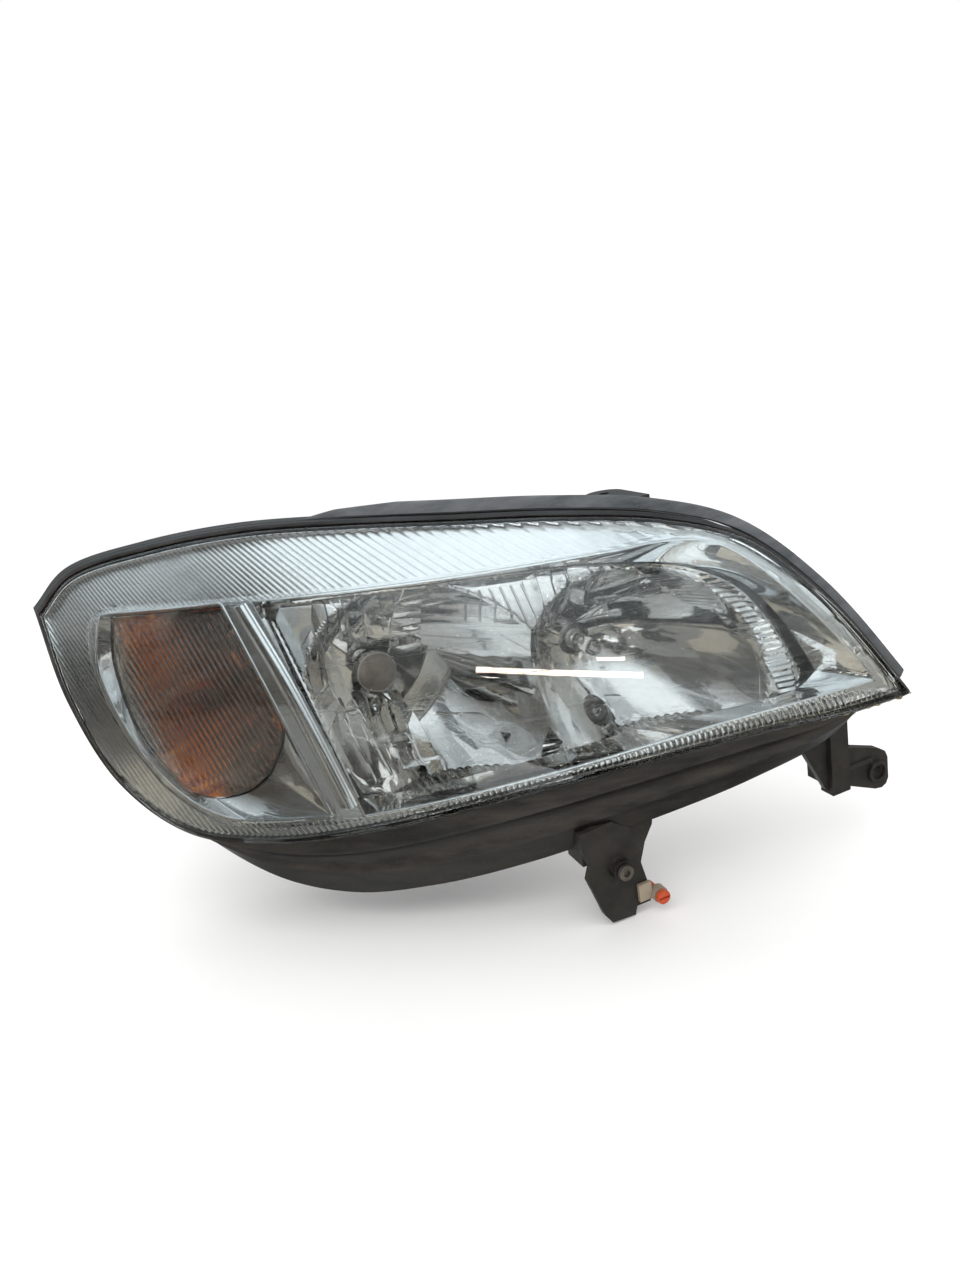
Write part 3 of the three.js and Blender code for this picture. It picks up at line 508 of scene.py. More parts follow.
def turn_chrome_with_painted_amber():
    """Chrome of the turn-signal pocket with a painted reflection of its amber bulb along a leaning band on
    the left, scattered painted amber glints, and smoky to the right of it."""
    n = Nodes(chromed("turn_signal_chrome_painted_amber", (0.52, 0.48, 0.44), 0.25, (0.03, 0.10), 0.05,
                      (0.16, 0.14, 0.12)))
    place = n.split(n.place())
    lean = n.maths("MULTIPLY", place["Z"], 0.056)
    across = n.maths("ADD", n.maths("ADD", place["X"], lean), 0.316)
    # Painted reflection of the amber bulb: a leaning band of amber put in the base colour
    band = n.values(n.maths("ABSOLUTE", across), 1.0, 0.0, (0.009, 0.021))
    # Painted glints: scattered amber spots
    painted_amber_glints = n.values(n.noise(48.0, 2.0, 0.5), 0.0, 0.7, (0.63, 0.68))
    cloud = n.values(n.noise(75.0, 5.0, 0.7), 0.15, 1.0, (0.28, 0.46))
    amber = n.maths("MULTIPLY", n.maths("MAXIMUM", band, painted_amber_glints), cloud)
    # Colours of the painted reflection, from deep amber up to a bright orange painted glint
    deep = n.ramp(n.noise(130.0, 4.0, 0.7), (0.38, (0.24, 0.045, 0.005)), (0.52, (0.66, 0.16, 0.012)),
                  (0.64, (1.0, 0.40, 0.035)))
    right = n.values(across, 0.0, 1.0, (0.014, 0.032))
    smoky = n.maths("MULTIPLY", right, n.values(painted_amber_glints, 1.0, 0.0))
    smoke = n.ramp(n.noise(90.0, 5.0, 0.7), (0.36, (0.045, 0.034, 0.027)), (0.66, (0.20, 0.165, 0.135)))
    n.feed(n.mix(amber, n.mix(smoky, n.fed("Base Color"), smoke), deep), "Base Color")
    shine = n.maths("MULTIPLY", n.fed("Metallic"), n.values(smoky, 1.0, 0.35))
    # Metal is turned down under the painted amber so that it shows as colour, not as mirror
    n.feed(n.maths("MULTIPLY", shine, n.values(amber, 1.0, 0.25)), "Metallic")
    return n.owner


BLACK = moulded("dusty_black_plastic", (0.004, 0.0036, 0.0033), (0.012, 0.0105, 0.009),
                (0.10, 0.080, 0.064), dusty=0.5, faces=(-0.7, 0.9))
# behind=0.3 thins the dust on the housing's rear-facing faces as painted shade, so its forward faces look lit
HOUSING = moulded("streaked_black_plastic", (0.0035, 0.003, 0.0028), (0.012, 0.0105, 0.009),
                  (0.125, 0.098, 0.078), (0.34, 0.58), dusty=0.7, faces=(-0.62, 0.55),
                  streak=(0.22, 0.5, 1.5), above=(0.045, 0.048, 0.054), behind=0.3)
REAR_BLACK = moulded("black_plastic", (0.014, 0.014, 0.015), (0.036, 0.036, 0.038),
                     (0.20, 0.19, 0.18), dusty=0.3)
GREY = moulded("grey_plastic", (0.22, 0.22, 0.215), (0.33, 0.325, 0.31), (0.42, 0.40, 0.37), dusty=0.25)
BEIGE = moulded("beige_plastic", (0.20, 0.16, 0.12), (0.36, 0.30, 0.22), (0.24, 0.20, 0.16), dusty=0.5)
RED = moulded("red_plastic", (0.42, 0.045, 0.012), (0.60, 0.085, 0.022), (0.35, 0.16, 0.09), dusty=0.25)
RUBBER = moulded("strip_rubber", (0.024, 0.027, 0.031), (0.070, 0.076, 0.084), (0.19, 0.195, 0.205),
                 (0.45, 0.72), 2200.0, 0.75, streak=(0.3, 0.5, 1.6))
SEALANT = moulded("lens_sealant", (0.10, 0.085, 0.035), (0.24, 0.20, 0.10), (0.30, 0.26, 0.17), (0.3, 0.5))
SEAL_RUBBER = moulded("seal_rubber", (0.010, 0.010, 0.011), (0.026, 0.026, 0.028),
                      (0.12, 0.12, 0.12), dusty=0.3)
CHROME = chromed("bezel_chrome", (0.72, 0.735, 0.74), 0.10, (0.02, 0.07), 0.03)
OPTIC = chromed("optic_chrome", (0.72, 0.71, 0.695), 0.10, (0.012, 0.05), 0.012)
TURN_CHROME_WITH_PAINTED_AMBER = turn_chrome_with_painted_amber()
SHIELD = shield_metal()
STEEL = metal("zinc_steel", (0.36, 0.36, 0.35), (0.58, 0.575, 0.56))
DULL_STEEL = metal("dusty_steel", (0.07, 0.062, 0.055), (0.20, 0.175, 0.15), (0.42, 0.65), 0.3, 0.7)
LENS_CLEAR = glassy("lens_polycarbonate", (0.98, 0.98, 0.98), (0.96, 0.965, 0.965), scratch=0.25)
INNER_CLEAR = glassy("inner_lens_clear", (0.95, 0.93, 0.90), (0.95, 0.94, 0.92), ior=1.49)
BULB_GLASS = glassy("bulb_glass", (0.98, 0.98, 0.985), (0.97, 0.97, 0.98), ior=1.46)
AMBER = glassy("amber_glass", (0.95, 0.30, 0.02), (0.9, 0.38, 0.05), 0.02)


# ---------------------------------------------------------------- regions seen from the front
def inside(points, loop):
    """Tells which points, in x and z, lie within a closed loop."""
    x, z = points[:, :1], points[:, 1:]
    (ax, az), (bx, bz) = loop.T[:, None], np.roll(loop, -1, 0).T[:, None]
    crossing = (az > z) != (bz > z)
    at = ax + (z - az) * (bx - ax) / np.where(bz == az, 1e-9, bz - az)
    return np.sum(crossing & (x < at), 1) % 2 == 1


def region(border, holes=(), lines=(), spacing=2.0):
    """Points and triangles that fill a border round its holes, with each line kept as edges.
    The border's own points come first."""
    verts, edges = [], []
    for k, line in enumerate([border, *holes, *lines]):
        start, n = len(verts), len(line)
        verts += [tuple(p) for p in line]
        edges += [(start + i, start + i + 1) for i in range(n - 1)]
        if k <= len(holes):
            edges.append((start + n - 1, start))
    if spacing:
        tree = KDTree(len(verts))
        for i, p in enumerate(verts):
            tree.insert((*p, 0.0), i)
        tree.balance()
        low, high = border.min(0), border.max(0)
        x, z = (np.arange(low[k], high[k], spacing) for k in (0, 1))
        dots = np.stack([a.ravel() for a in np.meshgrid(x, z)], 1)
        dots = dots[inside(dots, border)]
        for hole in holes:
            dots = dots[~inside(dots, hole)]
        verts += [tuple(p) for p in dots if tree.find((*p, 0.0))[2] > 0.55 * spacing]
    found = delaunay_2d_cdt([Vector(p) for p in verts], edges, [], 0, 1e-4)
    points, tris = np.array([p[:] for p in found[0]]), np.array(found[2])
    middle = points[tris].mean(1)
    keep = inside(middle, border)
    for hole in holes:
        keep &= ~inside(middle, hole)
    return points, tris[keep]


def rim_edges(tris):
    """Directed edges that only one triangle uses."""
    edges = np.vstack([tris[:, [0, 1]], tris[:, [1, 2]], tris[:, [2, 0]]])
    known = {tuple(e) for e in edges.tolist()}
    return np.array([e for e in edges.tolist() if (e[1], e[0]) not in known])


def slab(name, points, tris, front, back, angle=28.0):
    """Closed body over a filled region, between two depths given as functions of x and z."""
    used = np.unique(tris)
    place = np.zeros(len(points), int)
    place[used] = np.arange(len(used))
    points, tris, n = points[used], place[tris], len(used)
    x, z = points.T
    verts = np.vstack([np.stack([x, f(x, z), z], 1) for f in (front, back)])
    e = rim_edges(tris)
    sides = np.stack([e[:, 0], e[:, 1], e[:, 1] + n, e[:, 0] + n], 1)
    return build(name, verts, [*tris, *(tris[:, ::-1] + n), *sides], angle)


def runs(line, keep, gap):
    """Stretches of a line where keep holds, thinned to points about gap apart."""
    out, start = [], None
    for i in range(len(line) + 1):
        if i < len(line) and keep[i]:
            start = i if start is None else start
        elif start is not None:
            part = line[start:i]
            if len(part) > 2:
                length = np.linalg.norm(part[-1] - part[0])
                out.append(resample(part, max(1, round(length / gap))))
            start = None
    return out


# ---------------------------------------------------------------- outlines, as in the CAD
LENS_TOP = [[-254, 36], [-226, 60], [-170, 73], [-110, 78], [-50, 75], [10, 69], [70, 62],
            [125, 51], [165, 33], [196, -5], [231, -73]]
LENS_LOW = [[231, -73], [190, -76], [130, -78], [60, -86], [-10, -98], [-80, -113],
            [-145, -122], [-195, -116], [-229, -84], [-249, -25], [-254, 36]]
LENS = outline((LENS_TOP, 600), (LENS_LOW, 600))
BELLY = outline(
    ([[-254, 30], [-228, 50], [-170, 62], [-110, 67], [-50, 66], [10, 63], [70, 57], [125, 47],
      [168, 28], [202, -10], [240, -84]], 600),
    ([[240, -84], [205, -108], [150, -125], [80, -143], [10, -163], [-50, -177], [-100, -182],
      [-145, -170], [-195, -128], [-238, -70], [-254, 30]], 600),
)
SHRINK = np.where(BELLY[:, 1] > -45, 0.9, 0.74)
REAR = np.stack([BELLY[:, 0] * 0.81 - 4, (BELLY[:, 1] + 45) * SHRINK - 41], 1)
# inner edge of the lens's fluted band
CLEAR_AREA = outline(
    ([[-223, 26], [-216, 34], [-204, 38], [-174, 38], [-71, 38], [42, 39], [86, 40], [114, 42],
      [137, 41], [149, 38], [161, 32], [177, 18], [191, -3], [204, -28], [218, -58], [223, -69]], 500),
    ([[223, -69], [191, -64.5], [157, -66], [113, -70], [71, -75], [29, -84], [-12, -90], [-57, -101],
      [-98, -107], [-141, -110], [-166, -110], [-178, -105], [-190, -96], [-201, -84], [-211, -66],
      [-220, -44], [-225, -23], [-227, -4], [-226, 13], [-223, 26]], 500),
)
WINDOW_TOP = [[-116, 34], [-13, 35], [86, 37], [126, 37], [148, 32], [164, 19], [184, -9],
              [199, -34], [213, -62]]
FUNNEL_TOP = [[-111, 29], [-60, 31], [0, 31], [56, 31], [100, 27], [140, 18], [165, 2], [180, -24],
              [190, -56]]
MAIN_WINDOW = outline(
    (WINDOW_TOP, 300),
    ([[213, -62], [157, -66], [113, -70], [29, -84], [-57, -100], [-88, -105]], 240),
    ([[-88, -105], [-116, 34]], 100),
)
FUNNEL = outline(
    (FUNNEL_TOP, 300),
    ([[190, -56], [176, -64], [130, -68], [79, -72], [24, -81], [-14, -88], [-90, -102]], 240),
    ([[-90, -102], [-111, 29]], 100),
)
REFLECTOR = outline(
    (FUNNEL_TOP[:-1] + [[190, -58]], 600),
    ([[190, -58], [181, -74], [130, -86], [79, -92], [24, -98], [-14, -103], [-88, -109]], 480),
    ([[-88, -109], [-111, 29]], 200),
)
TURN_WINDOW = outline(
    ([[-213, 33], [-136, 35]], 60),
    ([[-136, 35], [-108, -104]], 100),
    ([[-108, -104], [-141, -107], [-166, -106], [-187, -95], [-208, -66], [-219, -35], [-223, -2],
      [-213, 33]], 160),
)
TURN_POCKET = outline(
    ([[-206, 29], [-134, 30]], 60),
    ([[-134, 30], [-122, -25], [-120, -54], [-134, -80]], 100),
    ([[-134, -80], [-150, -92], [-172, -97], [-186, -92], [-198, -76], [-208, -54], [-213, -28],
      [-213, 2], [-206, 29]], 160),
)

# bulb seats, x, y and z, and the focal length of both bowls
LOW, HIGH, FOCAL = (-49, 124, -29), (82, 42, -31), 19
# parking-lamp hole: x, z and radius
PARKING = (79, -77, 8.5)
# the reflector's three balls, x, y and z, and their radius
PIVOT, LEVELLER, SIDE_AIM, BALL_R = (20, 110, 42), (20, 104, -84), (-104, 142, 24), 5
TURN_BULB = (-172, -45)
# bulb doors in the rear wall: x, z and radius
LOW_DOOR, HIGH_DOOR = (LOW[0], LOW[2], 40), (HIGH[0], HIGH[2], 34)
COLLAR, COLLAR_WALL = 14, 2.6
MOTOR_BACK = 157.4
VENTS = [(140, 0), (-120, -105)]
BRACKET_Y, BOSS, PIN = -31, (58, -171), (83.5, -200)
LUG_HOLE = 50


# fine raised lines on the lens's inner face, in x and z
HAIRLINES = [
    [(-203, -9), (-150, -8), (-80, -7), (0, -2), (59, 3), (140, 10), (170, 12.5)],
    [(-211, -38), (-139, -36), (-63, -33), (20, -25), (92, -19), (175, -14)],
    [(-198, -67), (-146, -66), (-57, -58), (57, -46), (138, -39), (185, -36)],
]


# ---------------------------------------------------------------- front lens
def front_lens():
    """Outer lens: a fluted band round a clear area, with a rope of prisms along its lower edge."""
    wall, pole = 3.0, np.array([-427.0, 493.0])
    rope_pitch, edge_pitch = 3.4, 2.2
    angles = np.linspace(math.radians(15), math.radians(56), 800)
    pitch = np.interp(np.degrees(angles), [20, 35, 42, 50], [0.0048, 0.0052, 0.0075, 0.0095])
    phases = np.cumsum((angles[1] - angles[0]) / pitch)
    along, across = np.array([0.62, -0.79]), np.array([0.79, 0.62])

    def kind(x, z):
        """0 for the long flutes, 1 for the row of prisms along the bottom, 2 for the right edge."""
        bottom = (z < -60) & (x > -65)
        return np.where(bottom, 1, np.where((x > 137) & ~bottom, 2, 0))

    def bearing(x, z):
        """Angle at the pole from which the long flutes fan out."""
        return np.arctan2(x - pole[0], pole[1] - z)

    def relief(x, z):
        flute = np.interp(bearing(x, z), angles, phases)
        rope = (x + 0.17 * z) / rope_pitch
        edge = (along[0] * x + along[1] * z) / edge_pitch
        u = np.choose(kind(x, z), [flute, rope, edge]) % 1.0
        shape = 4 * u * (1 - u)
        depth = np.interp(bearing(x, z), [0.35, 0.87], [0.45, 0.7])
        return 0.6 + np.choose(kind(x, z), [depth * shape, 1.3 * np.sqrt(shape), 0.45 * shape])

    border, clear = grown(LENS, -3.2), CLEAR_AREA
    step, outer = grown(clear, 0.5)[::2], grown(border, -0.25)[::6]
    clear_far = grown(clear, 0.75)[::5]

    def clipped(starts, ends, want, gap):
        """Straight lines cut to the band, where the kind of flute is the wanted one."""
        out = []
        for a, b in zip(starts, ends):
            line = resample(np.array([a, b], float), int(np.linalg.norm(np.subtract(b, a)) / 0.7))
            ok = (kind(line[:, 0], line[:, 1]) == want) & inside(line, outer) & ~inside(line, clear_far)
            out += runs(line, ok, gap)
        return out

    parts = 5
    turns = np.interp(np.arange(0, phases[-1], 1 / parts), phases, angles)
    turns = turns[(turns > 0.32) & (turns < 0.93)]
    ray = np.stack([np.sin(turns), -np.cos(turns)], 1)
    lines = clipped(pole + 380 * ray, pole + 800 * ray, 0, 4.0)
    x = np.arange(-70, 236, rope_pitch / parts)
    low, high = (np.stack([x - 0.17 * z, x * 0 + z], 1) for z in (-112, -62))
    lines += clipped(low, high, 1, 2.0)
    s = np.arange(40, 205, edge_pitch / parts)[:, None]
    lines += clipped(s * along + 60 * across, s * along + 190 * across, 2, 2.0)
    hairlines = [spline(run, int((run[-1][0] - run[0][0]) / 2)) for run in HAIRLINES]
    crests = KDTree(sum(len(line) for line in hairlines))
    for line in hairlines:
        lines += [line + np.array([0, shift_z]) for shift_z in (-0.8, -0.4, 0.0, 0.4, 0.8)]
        for p in line:
            crests.insert((*p, 0.0), 0)
    crests.balance()
    points, tris = region(border, [], [np.vstack([c, c[:1]]) for c in (clear[::2], step)] + lines, 4.5)
    x, z = points.T
    in_band = ~inside(points, grown(clear, 0.25))
    crest = np.array([crests.find((*p, 0.0))[2] < 0.02 for p in points])
    y = lens_y(x, z, wall) + np.where(in_band, relief(x, z), 0.0) + 0.13 * crest
    loops = rims(LENS, ((-3, 5), (-3, 15.6), (-2.6, 16), (-0.4, 16), (0, 15.6), (0, 2.4)))
    loops += rims(LENS, [(-2.4 * (1 - math.sin(a)), 2.4 * (1 - math.cos(a)))
                         for a in np.radians([65, 45, 30, 15, 0])])
    centre = np.array([-10.0, -20.0])
    loops += [on_lens(mixed(centre, grown(LENS, -2.4), t), 0) for t in np.linspace(0.97, 0.04, 26)]
    verts = np.vstack([np.stack([x, y, z], 1), *loops, on_lens(centre[None], 0)])
    n = len(border)
    i, faces = np.arange(n), [*tris]
    j = (i + 1) % n
    starts = [0] + [len(points) + k * n for k in range(len(loops))]
    for a, b in zip(starts, starts[1:]):
        faces += list(np.stack([a + i, a + j, b + j, b + i], 1))
    faces += list(np.stack([starts[-1] + i, starts[-1] + j, np.full(n, len(verts) - 1)], 1))
    put(build("front_lens_glass", verts, faces, 50), "lamp_body", LENS_CLEAR, "clear_plastic", "front_lens")


def lens_seal():
    """Seal in the lens's channel, and the sealant squeezed out of it at the lower right."""
    section = [(-4.2, 16.6), (-3.6, 16.35), (-0.4, 16.35), (0.2, 16.6),
               (0.2, 19.2), (-0.4, 19.6), (-3.6, 19.6), (-4.2, 19.2)]
    put(rings("lens_seal_ring", rims(LENS, section), wrap=True), "lamp_body", SEAL_RUBBER,
        "rubber", "lens_seal")
    squeezed = (LENS[:, 0] > 12) & (np.arange(len(LENS)) > 600)
    edge = [grown(LENS, d)[squeezed] for d in (0.15, 0.15, 1.0, 1.9, 2.2, 0.9)]
    size = np.interp(edge[0][:, 0], [12, 90, 190, 231], [0.12, 0.5, 1.0, 1.25])[:, None]
    size = size * (1 + 0.16 * np.sin(edge[0][:, :1] * 0.9) + 0.12 * np.sin(edge[0][:, :1] * 0.37))
    rows = []
    for line, depth in zip(edge, (8.5, 6.6, 5.7, 6.0, 6.9, 8.5)):
        flat = edge[0] + (line - edge[0]) * size
        rows.append(on_lens(flat, 8.5 + (depth - 8.5) * size[:, 0]))
    bead = rings("lens_sealant", [np.array(ring) for ring in zip(*rows)])
    put(bead, "lamp_body", SEALANT, "rubber")


# ---------------------------------------------------------------- bezel
def bezel():
    """Bright trim with a funnel round each window. Its outer edge curls towards the lens at the top."""
    edge = KDTree(len(LENS))
    for i, p in enumerate(LENS):
        edge.insert((*p, 0.0), i)
    edge.balance()

    def front(x, z):
        gap = np.array([edge.find((a, b, 0.0))[2] for a, b in zip(x, z)])
        curl = np.interp(z, [-40, 20], [0.3, 2.1]) * np.clip(1 - (gap - 3.4) / 5.5, 0, 1) ** 2
        return lens_y(x, z, 9 - curl)

    creases = [np.vstack([line, line[:1]]) for line in (grown(LENS, -5.2)[::4], grown(LENS, -7.0)[::4])]
    points, tris = region(grown(LENS, -3.4)[::3], [MAIN_WINDOW, TURN_WINDOW], creases, 3.5)
    face = slab("face", points, tris, front, lambda x, z: lens_y(x, z, 11))

    def funnel(window, rear, back):
        lip = ((2.0, 9.02), (1.7, 8.6), (1.1, 8.35), (0.4, 8.45), (0, 8.9))
        end = ((0, back), (0.5, back + 0.4), (1.6, back + 0.2), (2, back - 0.4))
        between = [on_lens(mixed(window, rear, t), mixed(9, back, t)) for t in (0.06, 0.25, 0.5, 0.75, 0.94)]
        rows = rims(window, lip) + between + rims(rear, end) + rims(window, [(2, 10.5)])
        return rings("funnel", rows, wrap=True, angle=50)

    obj = join("bezel_chrome", face, funnel(MAIN_WINDOW, FUNNEL, 25), funnel(TURN_WINDOW, TURN_POCKET, 20))
    put(smooth(obj, 35), "lamp_body", CHROME, "chrome_coat", "bezel")


def ribbon(name, points, count, section, angle=40, thin=None):
    """Bar along a line of x and z; section gives offsets off the line and depths behind the lens.
    thin gives a share of the full section for each point of the line."""
    line = spline(points, count)
    t = unit(np.gradient(line, axis=0))
    side = np.stack([-t[:, 1], t[:, 0]], 1)
    out_0, depth_0 = section[-1]
    share = np.ones(len(line)) if thin is None else thin
    loops = []
    for out, depth in section:
        flat = line + side * mixed(out_0, out, share)[:, None]
        loops.append(on_lens(flat, mixed(depth_0, depth, share)))
    return rings(name, [np.array(ring) for ring in zip(*loops)], angle=angle)


def divider_bar():
    arch = [(5.0 * math.cos(a), 8.3 - 2.9 * math.sin(a)) for a in np.radians(np.linspace(8, 172, 17))]
    arch = [(5.0, 8.6), *[(o * 0.74, d) for o, d in arch], (-5.0, 8.6)]
    obj = ribbon("divider_chrome", [[-96, -99], [-104, -58], [-113, -14], [-125, 33]], 90, arch[::-1])
    put(obj, "lamp_body", CHROME, "chrome_coat", "divider_bar")


# ---------------------------------------------------------------- turn signal
def turn_signal():
    """Pocket with a pillowed wall, its ribbed inner lens, and the amber bulb in its holder."""
    bx, bz = TURN_BULB
    axis = np.array([bx, bz], float)
    deep = mixed(TURN_POCKET, np.array([-172.0, -40.0]), 0.42)
    wall, back_y, n = -0.7, 201.6, len(TURN_POCKET)
    spokes = unit(TURN_POCKET - axis)

    def pillows(t, bands, count):
        """Height, round a ring, of a brick pattern of small pillows. t runs across its bands."""
        shift = math.pi / 2 * (int(t * bands) % 2)
        around = np.abs(np.sin(np.linspace(0, count * math.pi, n, endpoint=False) + shift))
        return abs(math.sin(t * math.pi * bands)) * around

    rows = []
    for t in np.linspace(0, 1, 61):
        flat = mixed(TURN_POCKET, deep, t)
        inward = (flat - flat.mean(0)) / 60 * 1.5 * pillows(t, 12, 64)[:, None]
        flat = grown(flat, wall) - inward
        rows.append(at_depth(flat, mixed(lens_y(flat[:, 0], flat[:, 1], 24), back_y, t)))
    for t in np.arange(1, 31) / 30:
        flat = mixed(grown(deep, wall), axis + spokes * 12.9, t)
        rows.append(at_depth(flat, back_y - 1.4 * pillows(t, 6, 40) * (t < 0.99)))
    for r, y in ((12.6, 210.6), (13.2, 211), (15.4, 211), (15.9, 210.4), (15.9, 204)):
        rows.append(at_depth(axis + spokes * r, y))
    rows.append(at_depth(grown(deep, 0.4), 203.8))
    for t, grow, back in ((0.1, 0.4, 30), (0.02, 1.3, 24)):
        rows += rims(mixed(TURN_POCKET, deep, t), [(grow, back)])
    pocket = rings("turn_signal_pocket", rows, wrap=True, angle=50)
    put(pocket, "lamp_body", TURN_CHROME_WITH_PAINTED_AMBER, "chrome_coat", "turn_signal_reflector")

    border = grown(TURN_POCKET, -0.5)
    rim = grown(border, -2.2)
    ribbed, inner = grown(rim, -0.3), grown(rim, 0.02)
    lean, parts, pitch = math.tan(math.radians(15)), 5, 3.6
    lines = [np.vstack([rim, rim[:1]])]
    for x in np.arange(-250, -80, pitch / parts):
        line = resample(np.array([[x, 34.0], [x + 134 * lean, -100.0]]), 180)
        lines += runs(line, inside(line, ribbed), 6.0)
    points, tris = region(border, [], lines, 0)

    def front(x, z):
        at = np.stack([x, z], 1)
        within = inside(at, inner)
        u = (x + (z - 34) * lean + 250) / pitch % 1.0
        rib = np.where(within & inside(at, ribbed), 0.9 * 4 * u * (1 - u), 0.0)
        return lens_y(x, z, 20.9) - np.where(within, 0.0, 1.3) - rib

    diffuser = slab("turn_signal_inner_lens", points, tris, front, lambda x, z: lens_y(x, z, 22.3), 45)
    put(diffuser, "lamp_body", INNER_CLEAR, "clear_plastic", "turn_signal_diffuser")

    glass = arc_profile([(0, 158), (6, 159.3), (10.4, 163.2), (12.2, 169.5), (11.7, 175), (10, 181),
                         (7.9, 185.6), (7.3, 190), (7.3, 200), (0, 200)])
    bulb = turned("turn_signal_bulb_glass", glass, bx, 0, bz)
    put(bulb, "turn_holder", AMBER, "amber_glass", "turn_signal_bulb")
    body = turned("body", [
        (0, 200.4), (11, 200.4), (11.6, 201), (11.6, 211.8), (19.4, 211.8), (20, 212.4), (20, 215.4),
        (19.4, 216), (14.4, 216), (13.9, 216.5), (12, 245.4), (11.4, 246), (9.4, 246), (9, 245.6),
        (9, 238), (0, 238)], bx, 0, bz)
    wings = []
    for angle in (0.4, 1.97):
        wing = cuboid("wing", -15.8, 15.8, 219, 239.8, -1.9, 1.9, 0)
        spin_about(wing, (0, 0, 0), "Y", angle)
        wings.append(soften(shift(wing, bx, 0, bz), 0.9, 3))
    contact = [(0, 237), (1.1, 237), (1.1, 244), (0.6, 244.6), (0, 244.6)]
    pins = [turned("pin", contact, x, 0, bz, segments=16) for x in (bx - 3.5, bx + 3.5)]
    holder = join("turn_signal_socket", body, *wings, *pins)
    put(holder, "turn_holder", GREY, "grey_plastic", "turn_signal_bulb_holder")
    seal = turned("turn_signal_seal_ring", [
        (17, 216.9), (17.5, 216.4), (20.4, 216.4), (21, 217), (21, 218), (20.4, 218.6), (17.5, 218.6),
        (17, 218.1)], bx, 0, bz)
    put(seal, "turn_holder_ring", SEAL_RUBBER, "rubber", "turn_signal_holder_seal")


def arc_profile(points, count=40):
    """Smooth profile of radius and depth through a few points, with its ends kept."""
    curve = spline([(r, y) for r, y in points[:-2]], count)
    curve[:, 0] = np.maximum(curve[:, 0], 0)
    return [tuple(p) for p in curve] + [tuple(p) for p in points[-2:]]


def spin_about(obj, centre, axis, angle):
    """Turns a mesh about a line through centre, given in the lens frame."""
    c = Vector(((np.array(centre, float) - LUG) * MM).tolist())
    obj.data.transform(Matrix.Translation(c) @ Matrix.Rotation(angle, 4, axis) @ Matrix.Translation(-c))
    return obj


def shift(obj, x, y, z):
    obj.data.transform(Matrix.Translation(Vector((x, y, z)) * MM))
    return obj


# ---------------------------------------------------------------- aimable reflector
def blend_max(a, b, width=1.6):
    """The larger of two depths, rounded over where they meet."""
    h = np.clip(0.5 + 0.5 * (a - b) / width, 0, 1)
    return a * h + b * (1 - h) + width * h * (1 - h)


def bowls(x, z):
    """Depth of the two bowls and of the flange that joins them."""
    low, high = (v[1] - ((x - v[0]) ** 2 + (z - v[2]) ** 2) / (4 * FOCAL) for v in (LOW, HIGH))
    return blend_max(blend_max(low, high), lens_y(x, z, 38)) - 3.2


